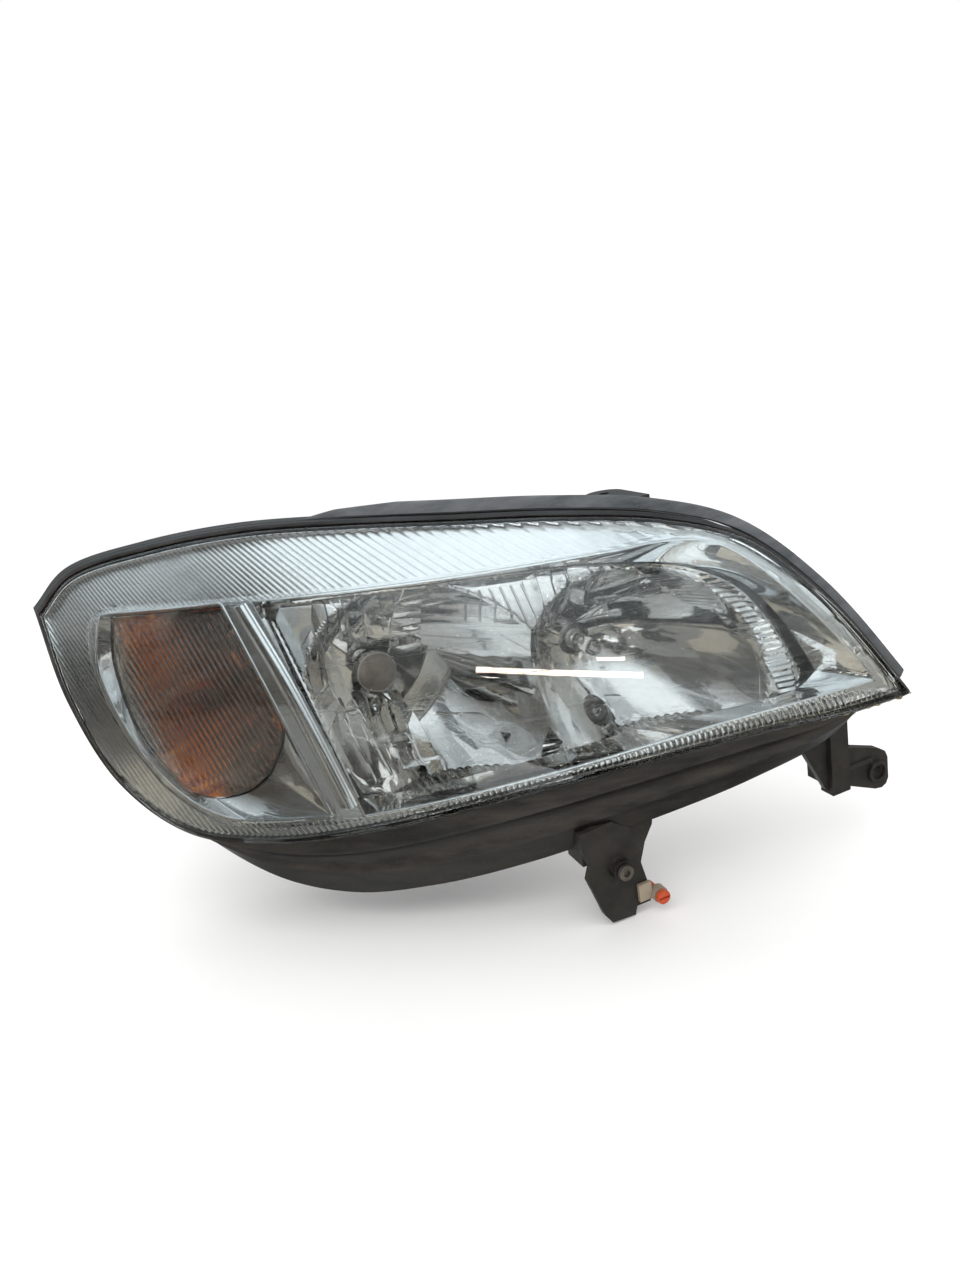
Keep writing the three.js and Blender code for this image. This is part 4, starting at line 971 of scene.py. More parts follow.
# Facets stand proud of the bowls: corners in x and z, height, lean along x and z, and roundness.
FACETS = [
    ([(-82, 14), (-78, 26.5), (-72, 26.5), (-74, -2), (-77, -12)], 0.9, 0.05, 0.02, 0.010),
    ([(-71, 26.5), (-62.5, 26.5), (-62.5, 4), (-73, -8)], 0.5, -0.10, 0.0, 0.006),
    ([(-61.5, 26.5), (-56, 26.5), (-57.5, -10), (-61.5, 0)], 1.1, 0.12, 0.03, 0.016),
    ([(-55, 26.5), (-46.5, 26.5), (-44.5, -13.6), (-56, -12)], 0.7, -0.08, 0.02, 0.004),
    ([(-45.5, 26.5), (-38.5, 26.5), (-31, -12), (-43.5, -13.4)], 1.0, 0.07, -0.04, 0.008),
    ([(-37.5, 26.5), (-22.5, 26.5), (-28, -9)], 0.8, -0.14, 0.10, 0.005),
    ([(-21, 26), (-9, 25.5), (-8.5, -6), (-26.5, -10)], 1.1, 0.04, -0.08, 0.003),
    ([(-26.8, -11.5), (-8.4, -7.5), (-8.4, -14.5), (-27, -18.4)], 0.6, 0.02, 0.22, 0.01),
    ([(-27, -19.6), (-8.4, -15.7), (-8.6, -21.6), (-28, -25.4)], 0.9, 0.02, -0.20, 0.01),
    ([(-28.5, -26.6), (-8.7, -22.8), (-9.5, -29.4), (-29.5, -32.5)], 0.5, 0.0, 0.16, 0.01),
    ([(-8, 25.5), (-4.5, 25.5), (-6, 14)], 0.8, 0.1, 0.15, 0.01),
    ([(-93, -2), (-84.5, 8), (-79.5, -14), (-79, -36), (-92, -40)], 0.8, -0.12, 0.0, 0.012),
    ([(-93, -42), (-79, -38), (-76.5, -52), (-91, -60)], 1.0, 0.14, 0.06, 0.014),
    ([(-77.5, -16), (-70.5, -12), (-66, -40), (-72, -58), (-77, -44)], 0.6, 0.1, 0.0, 0.012),
    ([(-92, -64), (-77.5, -56), (-71, -96), (-85.5, -98)], 0.9, 0.16, 0.05, 0.016),
    ([(-75.8, -54), (-71.5, -60), (-62.5, -66), (-59, -96.5), (-69.5, -96.5)], 0.6, -0.14, 0.02, 0.016),
    ([(-65, -46), (-55, -53.5), (-51, -68), (-51.5, -80), (-56, -96), (-61, -65)], 1.0, 0.15, 0.0, 0.020),
    ([(-49.5, -70), (-42.5, -58), (-35, -66), (-38, -95), (-49, -96)], 0.7, -0.12, 0.05, 0.018),
    ([(-41, -56.5), (-31.5, -56), (-26, -72), (-24, -94), (-35.5, -94.5), (-33.5, -66)],
     1.1, 0.14, 0.12, 0.014),
    ([(-52, -55), (-43.8, -57.3), (-50.3, -68.5)], 0.5, 0.2, -0.1, 0.01),
    ([(-13, -72), (10, -70), (27, -82.5), (4, -87)], 0.7, 0.0, 0.14, 0.012),
    ([(44, 24), (51.5, 26), (49.5, -12), (44.5, -13)], 0.7, -0.08, 0.0, 0.016),
    ([(52.8, 26.5), (60, 26.8), (57, -14), (50.7, -12)], 1.0, 0.12, 0.0, 0.014),
    ([(61.2, 26.8), (69.5, 27), (66.5, -15), (58.2, -14.3)], 0.6, -0.08, 0.02, 0.012),
    ([(71, 27), (82, 26.5), (92, -17), (84, -19), (74, -15.5), (69, -14)], 1.2, 0.10, 0.08, 0.010),
    ([(83.5, 26.5), (90, 25.8), (86.3, 8)], 0.7, -0.15, 0.1, 0.01),
    ([(91.5, 25.5), (104, 21), (124, 10), (131, 3), (92.6, -12), (88, 6)], 0.6, -0.04, 0.16, 0.002),
    ([(93.6, -13.6), (131.5, 1.6), (133, -3), (117, -12), (94, -18.4)], 1.1, 0.02, -0.22, 0.008),
    ([(45, -15.5), (57.5, -16.5), (60, -32), (46.5, -32)], 0.9, 0.1, 0.03, 0.012),
    ([(46.8, -33.6), (60, -33.6), (63, -46), (50, -52)], 0.6, -0.1, 0.06, 0.012),
    ([(50.8, -53.6), (63.6, -47.6), (70, -58), (61, -72)], 0.9, 0.1, 0.02, 0.012),
    ([(89.5, -70.5), (99, -72), (104, -84), (88.5, -84.5)], 0.7, -0.05, 0.16, 0.014),
]


COLUMN_PITCH = 3.5


def column(z):
    """Ends in x, at a height z, of the ribbed column on the outer side of the high-beam bowl."""
    heights = [-72, -51, -28, -3, 13]
    return np.interp(z, heights, [172, 167, 159, 151, 143]), np.interp(z, heights, [180, 181, 177, 169, 161])


def reflector_optics():
    """Faceted skin of the bowls, the ribbed wall round them and the ribs on the flange."""
    border = grown(REFLECTOR, -3.4)[::2]
    seats = [(LOW[0], LOW[2], 11.9), (HIGH[0], HIGH[2], 11.9), (*PARKING[:2], 8.9)]
    safe, clear = grown(border, -0.6), [circle(x, z, r + 0.7, 40) for x, z, r in seats]
    shapes, lines = [], []
    for corners, *form in FACETS:
        loop = np.array(corners, float)
        loop = np.vstack([resample(np.array([a, b]), max(2, int(np.linalg.norm(b - a) / 1.5)))[:-1]
                          for a, b in zip(loop, np.roll(loop, -1, 0))])
        shapes.append((loop, form, loop.mean(0)))
        for line in (loop, grown(loop, 0.3)):
            ring = np.vstack([line, line[:1]])
            ok = inside(ring, safe) & ~np.any([inside(ring, c) for c in clear], 0)
            lines += [ring] if ok.all() else runs(ring, ok, 1.5)
    for z in np.arange(-7, 42) * -COLUMN_PITCH / 2:
        row = resample(np.array([[end, z] for end in column(z)]), 12)
        lines += runs(row, inside(row, safe), 1.5)
    points, tris = region(border, [circle(*seat) for seat in seats], lines, 1.7)

    def front(x, z):
        y = bowls(x, z)
        at = np.stack([x, z], 1)
        for loop, (lift, lean_x, lean_z, crown), c in shapes:
            dx, dz = x - c[0], z - c[1]
            raised = lift + lean_x * dx + lean_z * dz - crown * dx * dx
            y = np.where(inside(at, grown(loop, 0.08)), y - np.clip(raised, 0.25, 3.0), y)
        start, end = column(z)
        ribbed = (x > start - 0.01) & (x < end + 0.01) & (z < 12.3) & (z > -72)
        return np.where(ribbed, y - 0.2 - 0.8 * np.abs(np.sin(math.pi * z / COLUMN_PITCH)), y)

    skin = slab("reflector_optics", points, tris, front, lambda x, z: bowls(x, z) + 0.8, 24)
    put(skin, "reflector", OPTIC, "chrome_coat")

    # ribbed wall from the flange's front back to the bowls, all the way round
    wall, inner, outer = (grown(REFLECTOR, d) for d in (-3.3, -3.5, -2.6))
    ribs = np.abs(np.sin(np.arange(len(wall)) / len(wall) * math.pi * 150)) * 1.5
    normal = unit(inner - wall)
    deep = np.maximum(bowls(*wall.T), lens_y(*wall.T, 38) - 3.2) + 0.4
    lip = lens_y(*wall.T, 34.2)
    rows = []
    for t in (0, 0.02, 0.5, 1.0):
        flat = inner + normal * (ribs * min(1, t * 30))[:, None]
        rows.append(at_depth(flat, mixed(lip, deep, t)))
    rows += [at_depth(outer, y) for y in (deep, lip)]
    side = rings("reflector_side_wall", rows, wrap=True, angle=26)
    put(side, "reflector", OPTIC, "chrome_coat")

    # upright ribs on the flange between the bowls
    bars = []
    for x in 12 + 6.2 * np.arange(6):
        line = np.array([[x + 0.3 * k, 21 - 3.2 * k] for k in range(9)])
        rows = []
        for (px, pz), py in zip(line, bowls(*line.T)):
            rows.append(np.array([[px + 0.9 * math.cos(a), py + 0.2 - 1.1 * math.sin(a), pz]
                                  for a in np.radians([-20, 15, 50, 90, 130, 165, 200])]))
        bars.append(rings("bar", rows, angle=50))
    put(join("reflector_ribs", *bars), "reflector", OPTIC, "chrome_coat")
    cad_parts["reflector"].material_slots[0].material = OPTIC


# ---------------------------------------------------------------- bulbs, clips and plugs
def coil(name, a, b, radius, turns, wire):
    """Filament: a fine helix between two points."""
    a, b = np.array(a, float), np.array(b, float)
    along = (b - a) / np.linalg.norm(b - a)
    side = np.cross(along, [0.3, 0.2, 1.0])
    side /= np.linalg.norm(side)
    up = np.cross(along, side)
    t = np.linspace(0, 1, turns * 10)
    w = t * turns * 2 * math.pi
    line = a + (b - a) * t[:, None] + radius * (np.cos(w)[:, None] * side + np.sin(w)[:, None] * up)
    return tube_along(name, line, wire, 6)


def tube_along(name, line, radius, sides=12, wrap=False):
    """Round bar along a line of points."""
    line = np.asarray(line, float)
    t = unit(np.roll(line, -1, 0) - np.roll(line, 1, 0) if wrap else np.gradient(line, axis=0))
    up = np.array([0.12, 0.31, 0.94])
    loops = []
    angles = np.linspace(0, 2 * math.pi, sides, endpoint=False)
    for p, d in zip(line, t):
        side = np.cross(d, up)
        side /= np.linalg.norm(side)
        up = np.cross(side, d)
        loops.append(p + radius * (np.cos(angles)[:, None] * side + np.sin(angles)[:, None] * up))
    return rings(name, loops, wrap=wrap, angle=60)


def bulbs():
    for beam, (x, y, z) in (("low", LOW), ("high", HIGH)):
        shape = arc_profile([(r, y - h) for r, h in (
            (0, 38), (2.6, 37.7), (4.7, 36), (5.7, 32.8), (5.9, 28), (5.9, 14), (5.5, 10.5), (4.6, 8),
            (4.4, 6.4), (0, 6.4))])
        glass = turned(f"{beam}_beam_bulb_glass", shape, x, 0, z, segments=48)
        put(glass, "reflector", BULB_GLASS, "bulb_glass", f"{beam}_beam_bulb")
        wires = []
        for s, far in ((-1, 0), (1, 1)):
            lead = spline([(x + s * 2.2, y - 6.2, z), (x + s * 2.4, y - 14, z),
                           (x + s * 1.2, y - 18 - 4 * far, z), (x, y - 19 - 5 * far, z)], 14)
            wires.append(tube_along("wire", lead, 0.32, 8))
        helix = coil("coil", (x, y - 19, z), (x, y - 24, z), 0.75, 9, 0.17)
        put(join(f"{beam}_beam_filament", helix, *wires), "reflector", STEEL, "steel")
        base = turned("disc", [(r, y + h) for r, h in (
            (0, -6), (6.9, -6), (7.4, -5.5), (7.4, -2), (10.4, -2), (10.9, -1.5), (10.9, 3.8), (14.2, 3.8),
            (14.6, 4.2), (14.6, 5.1), (14.2, 5.5), (8, 5.5), (7.6, 12.4), (7, 13), (0, 13))],
            x, 0, z, segments=72)
        prongs = [cuboid("prong", at - 0.4, at + 0.4, y + 12.8, y + 13.35, z - 3, z + 3, 0.15)
                  for at in (x - 3, x + 3)]
        flange = join(f"{beam}_beam_bulb_flange", base, *prongs)
        put(flange, "reflector", STEEL, "steel", f"{beam}_beam_bulb_base")
        wire = tube_along(f"{beam}_beam_clip_wire", spring_wire(x, y + 7, z), 0.8, 12, wrap=True)
        put(wire, f"{beam}_clip", STEEL, "steel", f"{beam}_beam_spring_clip")
        plug = refined(f"{beam}_beam_plug", 0.5)
        put(plug, "reflector", REAR_BLACK, "black_plastic", f"{beam}_beam_plug")

    x, y, z = LOW
    cap = turned("cap", [(r, y - h) for r, h in (
        (0, 46), (9, 45.8), (12.6, 45.2), (13.8, 44.2), (14.4, 42.6), (14.4, 33.4), (14, 33), (13.4, 33.4),
        (13.2, 41.4), (12.4, 43), (0, 44.2))], x, 0, z, segments=96)
    shield = join("glare_shield_cap", cap, strut(x, y, z))
    put(shield, "reflector", SHIELD, "grey_metal", "low_beam_glare_shield")

    px, pz, r = PARKING
    shape = arc_profile([(0, 12), (2.6, 12.4), (4.4, 14), (4.8, 16.4), (4.8, 22), (4, 25), (3.6, 27),
                         (0, 27)])
    glass = turned("parking_bulb_glass", shape, px, 0, pz, segments=40)
    put(glass, "parking_holder", BULB_GLASS, "bulb_glass", "parking_bulb")
    body = turned("body", [
        (0, 27.4), (r - 1, 27.4), (r - 0.5, 27.9), (r - 0.5, 32.4), (r + 3.5, 32.4), (r + 4, 32.9),
        (r + 4, 35.5), (r + 3.5, 36), (6.2, 36.5), (6, 45.5), (5.5, 46), (0, 46)], px, 0, pz)
    grip = soften(cuboid("grip", px - 9, px + 9, 36, 44, pz - 1.5, pz + 1.5, 0), 0.7, 3)
    socket = join("parking_lamp_socket", body, grip)
    put(socket, "parking_holder", GREY, "grey_plastic", "parking_bulb_holder")


def spring_wire(x, y, z):
    """Closed line of a bulb's wire clip: straight foot below, hooked nose on top."""
    half = [(6, -20), (9.5, -17.5), (11, -13), (11.4, 0), (11.2, 8), (9.8, 17), (7, 20), (2.5, 19.6)]
    across = [(-a, b) for a, b in half]
    corners = [across[0], *half, (0, 18.8), *across[::-1]]
    return spline([(x + a, y, z + b) for a, b in corners], 150)[:-1]


def strut(x, y, z):
    """Arm that holds the glare shield below its bulb."""
    line = spline([(x, y - 36, z - 13.9), (x, y - 20, z - 15.5), (x, y - 4.9, z - 15.5)], 30)
    rows = [np.array([[px + 2.0 * math.cos(a), py, pz + (0.9 - 0.35 * abs(math.cos(a))) * math.sin(a)]
                      for a in np.linspace(0, 2 * math.pi, 16, endpoint=False)]) for px, py, pz in line]
    return rings("strut", rows)


# ---------------------------------------------------------------- housing
def outer_rings():
    """Rings of the housing's outside from the lens's channel to the rear wall."""
    side = grown(LENS, 5)
    channel = ((1.0, 7), (2.7, 7), (3.1, 7.4), (3.2, 8.4), (3.2, 12), (2.6, 12.4), (2.6, 13.4), (3.4, 13.9),
               (3.6, 19), (3.8, 24))
    rows = rims(LENS, channel)
    # share of the way to the belly, depth behind the lens, and how proud a ledge stands
    flank = ((0.05, 25, 0), (0.20, 26.2, 0), (0.26, 27.2, 0), (0.29, 27.4, 1.0), (0.305, 28, 1.1),
             (0.32, 29.2, 0.2), (0.36, 31.5, 0), (0.40, 33.5, 0), (0.46, 35.6, 0), (0.52, 36.8, 0),
             (0.60, 37.4, 0), (0.66, 37.6, 0.7), (0.68, 38.2, 0.8), (0.70, 39.4, 0.1), (0.76, 41, 0),
             (0.80, 42, 0), (0.88, 43.8, 0), (0.95, 45.4, 0), (1.0, 47, 0))
    rows += [on_lens(grown(mixed(side, BELLY, t), proud), back) for t, back, proud in flank]
    belly, rear = rows[-1], on_rear(REAR)
    for t in (0.01, 0.03, 0.3, 0.32, 0.34, 0.6, 0.62, 0.64, 0.9, 0.97):
        groove = 1.0 if t in (0.32, 0.62) else 0.0
        rows.append(mixed(belly, rear, t) - groove * outward(belly))
    return rows + [rear]


def outward(ring):
    """Unit vectors, in x and z, that point out of a ring."""
    flat = ring[:, [0, 2]]
    return at_depth(grown(flat, 1.0) - flat, 0)


def on_wall(obj, x, z):
    """Moves a mesh laid out round the lens frame's zero onto the rear wall."""
    spin_about(obj, (0, 0, 0), "Z", REAR_TURN)
    return shift(obj, x, rear_y(x), z)


def wall_disc(x, z, profile, segments=96):
    """Turned shape that stands on the rear wall, along its normal."""
    return turned("disc", profile, x, rear_y(x), z, REAR_TURN, segments)


def rod_profile(r, y0, y1, edge=0.6):
    """Radius and depth round the outline of a rod with chamfered ends."""
    return [(0, y0), (r - edge, y0), (r, y0 + edge), (r, y1 - edge), (r - edge, y1), (0, y1)]


def housing():
    """Shell with its doors, bores and lug. Each collar or boss is added, then its bore is cut."""
    rows = [r[::2] for r in outer_rings()]
    lens, rear, belly = LENS[::2], REAR[::2], BELLY[::2]
    inner = [on_rear(grown(rear, -3), -3), on_lens(grown(belly, -3), 46)]
    inner += rims(lens, ((-4.6, 23.5), (-4.6, 20), (0.6, 20), (0.6, 7.3)))
    middle = np.array([[-10.0, -50.0]])
    shell = rings("housing_shell", inner + rows, start=on_rear(middle, -3), end=on_rear(middle))

    def along_y(x, z, r, y0, y1, segments=64):
        return turned("rod", rod_profile(r, y0, y1), x, 0, z, segments=segments)

    bosses, bores = [], []
    for x, z, r in (LOW_DOOR, HIGH_DOOR):
        bosses.append(wall_disc(x, z, rod_profile(r + COLLAR_WALL, -2.5, COLLAR)))
        bores.append(wall_disc(x, z, rod_profile(r, -8, COLLAR + 1)))
    x, z = TURN_BULB
    well = rear_y(x) + 6
    bosses.append(along_y(x, z, 25, 212, well, 96))
    bores.append(along_y(x, z, 22, 205, well + 20, 96))
    x, _, z = LEVELLER
    bosses.append(along_y(x, z, 23, 128, MOTOR_BACK - 3.8, 96))
    bores.append(along_y(x, z, 18, 100, 170, 96))
    for x, _, z in (PIVOT, SIDE_AIM):
        y = rear_y(x)
        bosses.append(along_y(x, z, 9, y - 8, y + 8))
        bores.append(along_y(x, z, 4.4, y - 30, y + 30, 40))
    for x, z in VENTS:
        bosses.append(wall_disc(x, z, rod_profile(5, -2.5, 10), 40))
        bores.append(wall_disc(x, z, rod_profile(3, -10, 11), 32))
    x, z = LUG[0], LUG[2]
    bosses += [cuboid("lug", x - 14, x + 14, 14, LUG_HOLE, z - 5, z, 0),
               cuboid("foot", x - 13, x + 13, 14.5, 18, 43, z - 1, 0),
               cuboid("web", x - 2, x + 2, 15, 44, 37, z - 1, 0),
               upright_rod(x, LUG_HOLE, z - 5, z, 14)]
    bores.append(upright_rod(x, LUG_HOLE, z - 20, z + 10, 3.6))
    for boss in bosses + rear_ribs():
        boolean(shell, boss, "UNION")
    for bore in bores:
        boolean(shell, bore, "DIFFERENCE")
    put(smooth(shell, 32), "lamp_body", HOUSING, "black_plastic", "housing")


def upright_rod(x, y, z0, z1, r):
    flat = circle(x, y, r, 64)
    return rings("rod", [np.column_stack([flat, np.full(len(flat), z)]) for z in (z0, z1)])


def rear_ribs():
    """Strengthening ribs on the rear wall, clear of its doors, motor and sockets."""
    out = []
    for x0, x1, z in ((-150, -104, -62), (4, 34, -4), (-100, -92, -80)):
        c = (x0 + x1) / 2
        out.append(on_wall(cuboid("rib", x0 - c, x1 - c, -2.4, 2.6, -1, 1, 0), c, z))
    return out


# ---------------------------------------------------------------- aiming gear
def aiming_gear():
    """The reflector's fixed pivot, its two adjusters and the levelling motor."""
    def ball(x, y, z, end, thread=0.0):
        """Ball stud: a rod along Y that ends in the ball. thread is the depth of its grooves."""
        radius = 3
        start = math.asin(radius / BALL_R)
        profile = [(BALL_R * math.sin(a), y - BALL_R * math.cos(a))
                   for a in np.linspace(0, math.pi - start, 26)]
        neck = y + BALL_R * math.cos(start)
        if thread:
            count = int((end - neck - 6) / 1.25)
            profile += [(radius - (thread if k % 2 else 0), neck + 5 + k * 0.625) for k in range(count * 2)]
        profile += [(radius, end - 0.5), (radius - 0.5, end), (0, end)]
        return turned("ball", profile, x, 0, z, segments=48)

    x, y, z = PIVOT
    wall = rear_y(x)
    sleeve = [(0, wall - 9), (3.6, wall - 9), (4, wall - 8.6), (4, wall + 11.6), (0, wall + 12)]
    nut = [(0, wall + 8.4), (6.4, wall + 8.4), (7, wall + 8.8), (7, wall + 11.6), (6.4, wall + 12),
           (0, wall + 12)]
    stud = join("pivot_ball_stud", ball(x, y, z, wall + 12), turned("sleeve", sleeve, x, 0, z),
                turned("hex", nut, x, 0, z, segments=6, angle=20))
    put(stud, "lamp_body", STEEL, "steel", "pivot_stud")
    cup = turned("pivot_ball_cup", [
        (0, y - 7.8), (6.8, y - 7.8), (7.3, y - 7.3), (7.3, y + 3.6), (6.9, y + 4), (6, y + 4),
        (5.7, y + 3.6), (5.7, y - 5), (5.2, y - 5.8), (0, y - 6)], x, 0, z)
    put(cup, "pivot_cup", GREY, "grey_plastic", "pivot_cup")
    rod = ball(*SIDE_AIM, rear_y(SIDE_AIM[0]) + 34, 0.35)
    put(smooth(rod), "side_rod", STEEL, "steel", "side_adjuster_rod")
    spindle = ball(*LEVELLER, MOTOR_BACK + 12)
    put(smooth(spindle), "spindle", GREY, "grey_plastic", "motor_spindle")
    for wheel in ("side", "height"):
        gear = refined(f"{wheel}_adjuster_wheel", 0.4)
        put(gear, f"{wheel}_wheel", GREY, "grey_plastic", f"{wheel}_adjuster_wheel")

    x, _, z = LEVELLER
    y = MOTOR_BACK
    nose = turned("nose", [(0, 136), (16.9, 136), (17.5, 136.6), (17.5, y + 1), (0, y + 1)], x, 0, z,
                  segments=96)
    corners = [(x + a, z + b) for a, b in ((-18, 16), (20, 16), (-18, -28), (20, -28))]
    added = [cuboid("case", x - 24, x + 26, y, y + 30, z - 34, z + 22, 0),
             cuboid("mouth", x - 12, x + 12, y + 8, y + 26, z - 48, z - 33, 0)]
    added += [cuboid("fin", at - 0.9, at + 0.9, y + 29, y + 30.6, z - 31, z - 14, 0)
              for at in x + 7 * np.arange(-2, 3)]
    added += [turned("boss", rod_profile(4.2, y + 0.5, y + 31.2, 0.5), a, 0, b, segments=36)
              for a, b in corners]
    for extra in added:
        boolean(nose, extra, "UNION")
    bores = [turned("bore", rod_profile(5, 120, y + 20), x, 0, z),
             turned("bore", rod_profile(3.6, 120, y + 40), x, 0, z),
             cuboid("bore", x - 10, x + 10, y + 10, y + 24, z - 60, z - 38, 0)]
    bores += [turned("bore", rod_profile(2.4, y + 29.4, y + 40, 0.2), a, 0, b, segments=6)
              for a, b in corners]
    for bore in bores:
        boolean(nose, bore, "DIFFERENCE")
    nose.name = "levelling_motor_case"
    put(soften(smooth(nose, 30), 0.5, 2, 30), "lamp_body", REAR_BLACK, "black_plastic", "levelling_motor")
    seal = turned("motor_seal_ring", [
        (18.3, y - 3), (18.7, y - 3.4), (21.6, y - 3.4), (22, y - 3), (22, y - 0.8), (21.6, y - 0.4),
        (18.7, y - 0.4), (18.3, y - 0.8)], x, 0, z, segments=96)
    put(seal, "lamp_body", SEAL_RUBBER, "rubber", "motor_seal")


# ---------------------------------------------------------------- rear covers, vents and socket
def rear_covers():
    """Screw-like covers of the bulb doors with their seals, the breathers and the wiring socket."""
    for beam, (x, z, r) in (("low", LOW_DOOR), ("high", HIGH_DOOR)):
        rim, c = r + COLLAR_WALL, COLLAR
        cap = turned("cap", [
            (0, c + 3.4), (rim - 0.2, c + 3.4), (rim + 0.4, c + 2.8), (rim + 0.4, 3.4), (rim + 0.8, 3),
            (rim + 2.2, 3), (rim + 2.6, 3.4), (rim + 2.6, c + 4.2), (rim + 2.2, c + 5.2),
            (rim + 1.2, c + 5.6), (r * 0.86, c + 5.6), (r * 0.84, c + 5.0), (r * 0.80, c + 5.0),
            (r * 0.78, c + 5.6), (r * 0.3, c + 5.6), (0, c + 5.6)], segments=128)
        parts = [cap, soften(cuboid("handle", -r * 0.7, r * 0.7, c + 5, c + 15, -3, 3, 0), 1.4, 3)]
        for angle in 1.5 + np.arange(3) * 2 * math.pi / 3:
            grip = cuboid("grip", rim + 2, rim + 6, 3, 13, -6, 6, 0)
            parts.append(soften(spin_about(grip, (0, 0, 0), "Y", angle), 0.8, 3))
        for angle in np.arange(40) / 40 * 2 * math.pi:
            rib = cuboid("rib", rim + 2.3, rim + 3.1, 5, c + 3.4, -0.8, 0.8, 0)
            parts.append(soften(spin_about(rib, (0, 0, 0), "Y", angle), 0.25, 1))
        cover = on_wall(join(f"{beam}_beam_cap", *parts), x, z)
        put(cover, f"{beam}_cover", REAR_BLACK, "black_plastic", f"{beam}_beam_rear_cover")
        seal = turned(f"{beam}_beam_cap_seal", [
            (r - 2, c + 0.9), (r - 1.4, c + 0.35), (rim - 0.8, c + 0.35), (rim - 0.2, c + 0.9),
            (rim - 0.2, c + 2.5), (rim - 0.8, c + 3.05), (r - 1.4, c + 3.05), (r - 2, c + 2.5)], segments=128)
        put(on_wall(seal, x, z), f"{beam}_cover", SEAL_RUBBER, "rubber", f"{beam}_beam_cover_seal")
    for name, (x, z) in zip(("inner", "outer"), VENTS):
        cap = turned(f"{name}_breather", [
            (0, 10.4), (5.4, 10.4), (5.4, 4.4), (5.8, 4), (6.6, 4), (7, 4.4), (7, 11.3), (6.6, 12),
            (5.6, 12.5), (3, 12.5), (2.7, 12), (0, 12)], segments=48)
        put(on_wall(cap, x, z), "lamp_body", SEAL_RUBBER, "rubber", f"{name}_breather_cap")
    put(refined("wiring_socket", 0.4), "lamp_body", REAR_BLACK, "black_plastic", "wiring_socket")


# ---------------------------------------------------------------- trim and brackets
def seal_strip():
    section = [(4.2, 10.6), (4.8, 9.9), (6.6, 10.2), (8.6, 11.2), (10.6, 12.0), (11.7, 13), (12, 14.3),
               (11.8, 16.2), (11.0, 17), (6.5, 17), (4.8, 17), (4.2, 16.4)]
    points = [[-70, 76], [-50, 75], [10, 69], [70, 62], [125, 51], [165, 33], [196, -5], [228, -68]]
    thin = np.interp(np.arange(261), [0, 3, 14, 40], [0.04, 0.18, 0.6, 1.0])
    strip = ribbon("top_strip", points, 260, section, thin=thin)
    put(strip, "lamp_body", RUBBER, "rubber", "top_seal_strip")


def brackets():
    for node in ("inner_tab", "lower_bracket"):
        put(refined(node, 0.7), "lamp_body", BLACK, "black_plastic", node)
    y, (bx, bz), (px, pz) = BRACKET_Y, BOSS, PIN
    screw = turned("bracket_screw_body", [
        (0, y - 9), (2.5, y - 9), (2.5, y - 10.8), (2.8, y - 11), (4.9, y - 11), (5.4, y - 10.4),
        (5.4, y - 7.9), (4.9, y - 7.4), (2.6, y - 7.4), (2.6, y + 5.4), (2, y + 6), (0, y + 6)],
        bx, 0, bz, segments=48)
    put(screw, "lamp_body", DULL_STEEL, "steel", "lower_bracket_screw")
    put(refined("bracket_clip", 0.4), "lamp_body", BEIGE, "beige_plastic", "bracket_clip")
    pin = turned("locking_pin_body", [
        (0, y - 11), (4.2, y - 11), (4.8, y - 10.6), (5, y - 10), (5, y - 7.6), (4.4, y - 7), (3.2, y - 7),
        (3.2, y + 9), (2.6, y + 10), (0, y + 10)], px, 0, pz, segments=56)
    slot = cuboid("slot", px - 4, px + 4, y - 13, y - 9.5, pz - 0.8, pz + 0.8, 0)
    boolean(pin, slot, "DIFFERENCE")
    put(smooth(pin, 30), "pin", RED, "red_plastic", "locking_pin")


# ---------------------------------------------------------------- the scene
def area_light(name, size, power, colour, spot, aim, roll=0.0):
    data = bpy.data.lights.new(name, "AREA")
    data.shape = "RECTANGLE"
    data.size, data.size_y = size
    data.energy = power
    data.color = colour
    light = bpy.data.objects.new(name, data)
    light.location = spot
    facing = (Vector(spot) - Vector(aim)).to_track_quat("Z", "Y")
    light.rotation_euler = (facing @ Quaternion((0, 0, 1), math.radians(roll))).to_euler()
    bpy.context.scene.collection.objects.link(light)
    return light


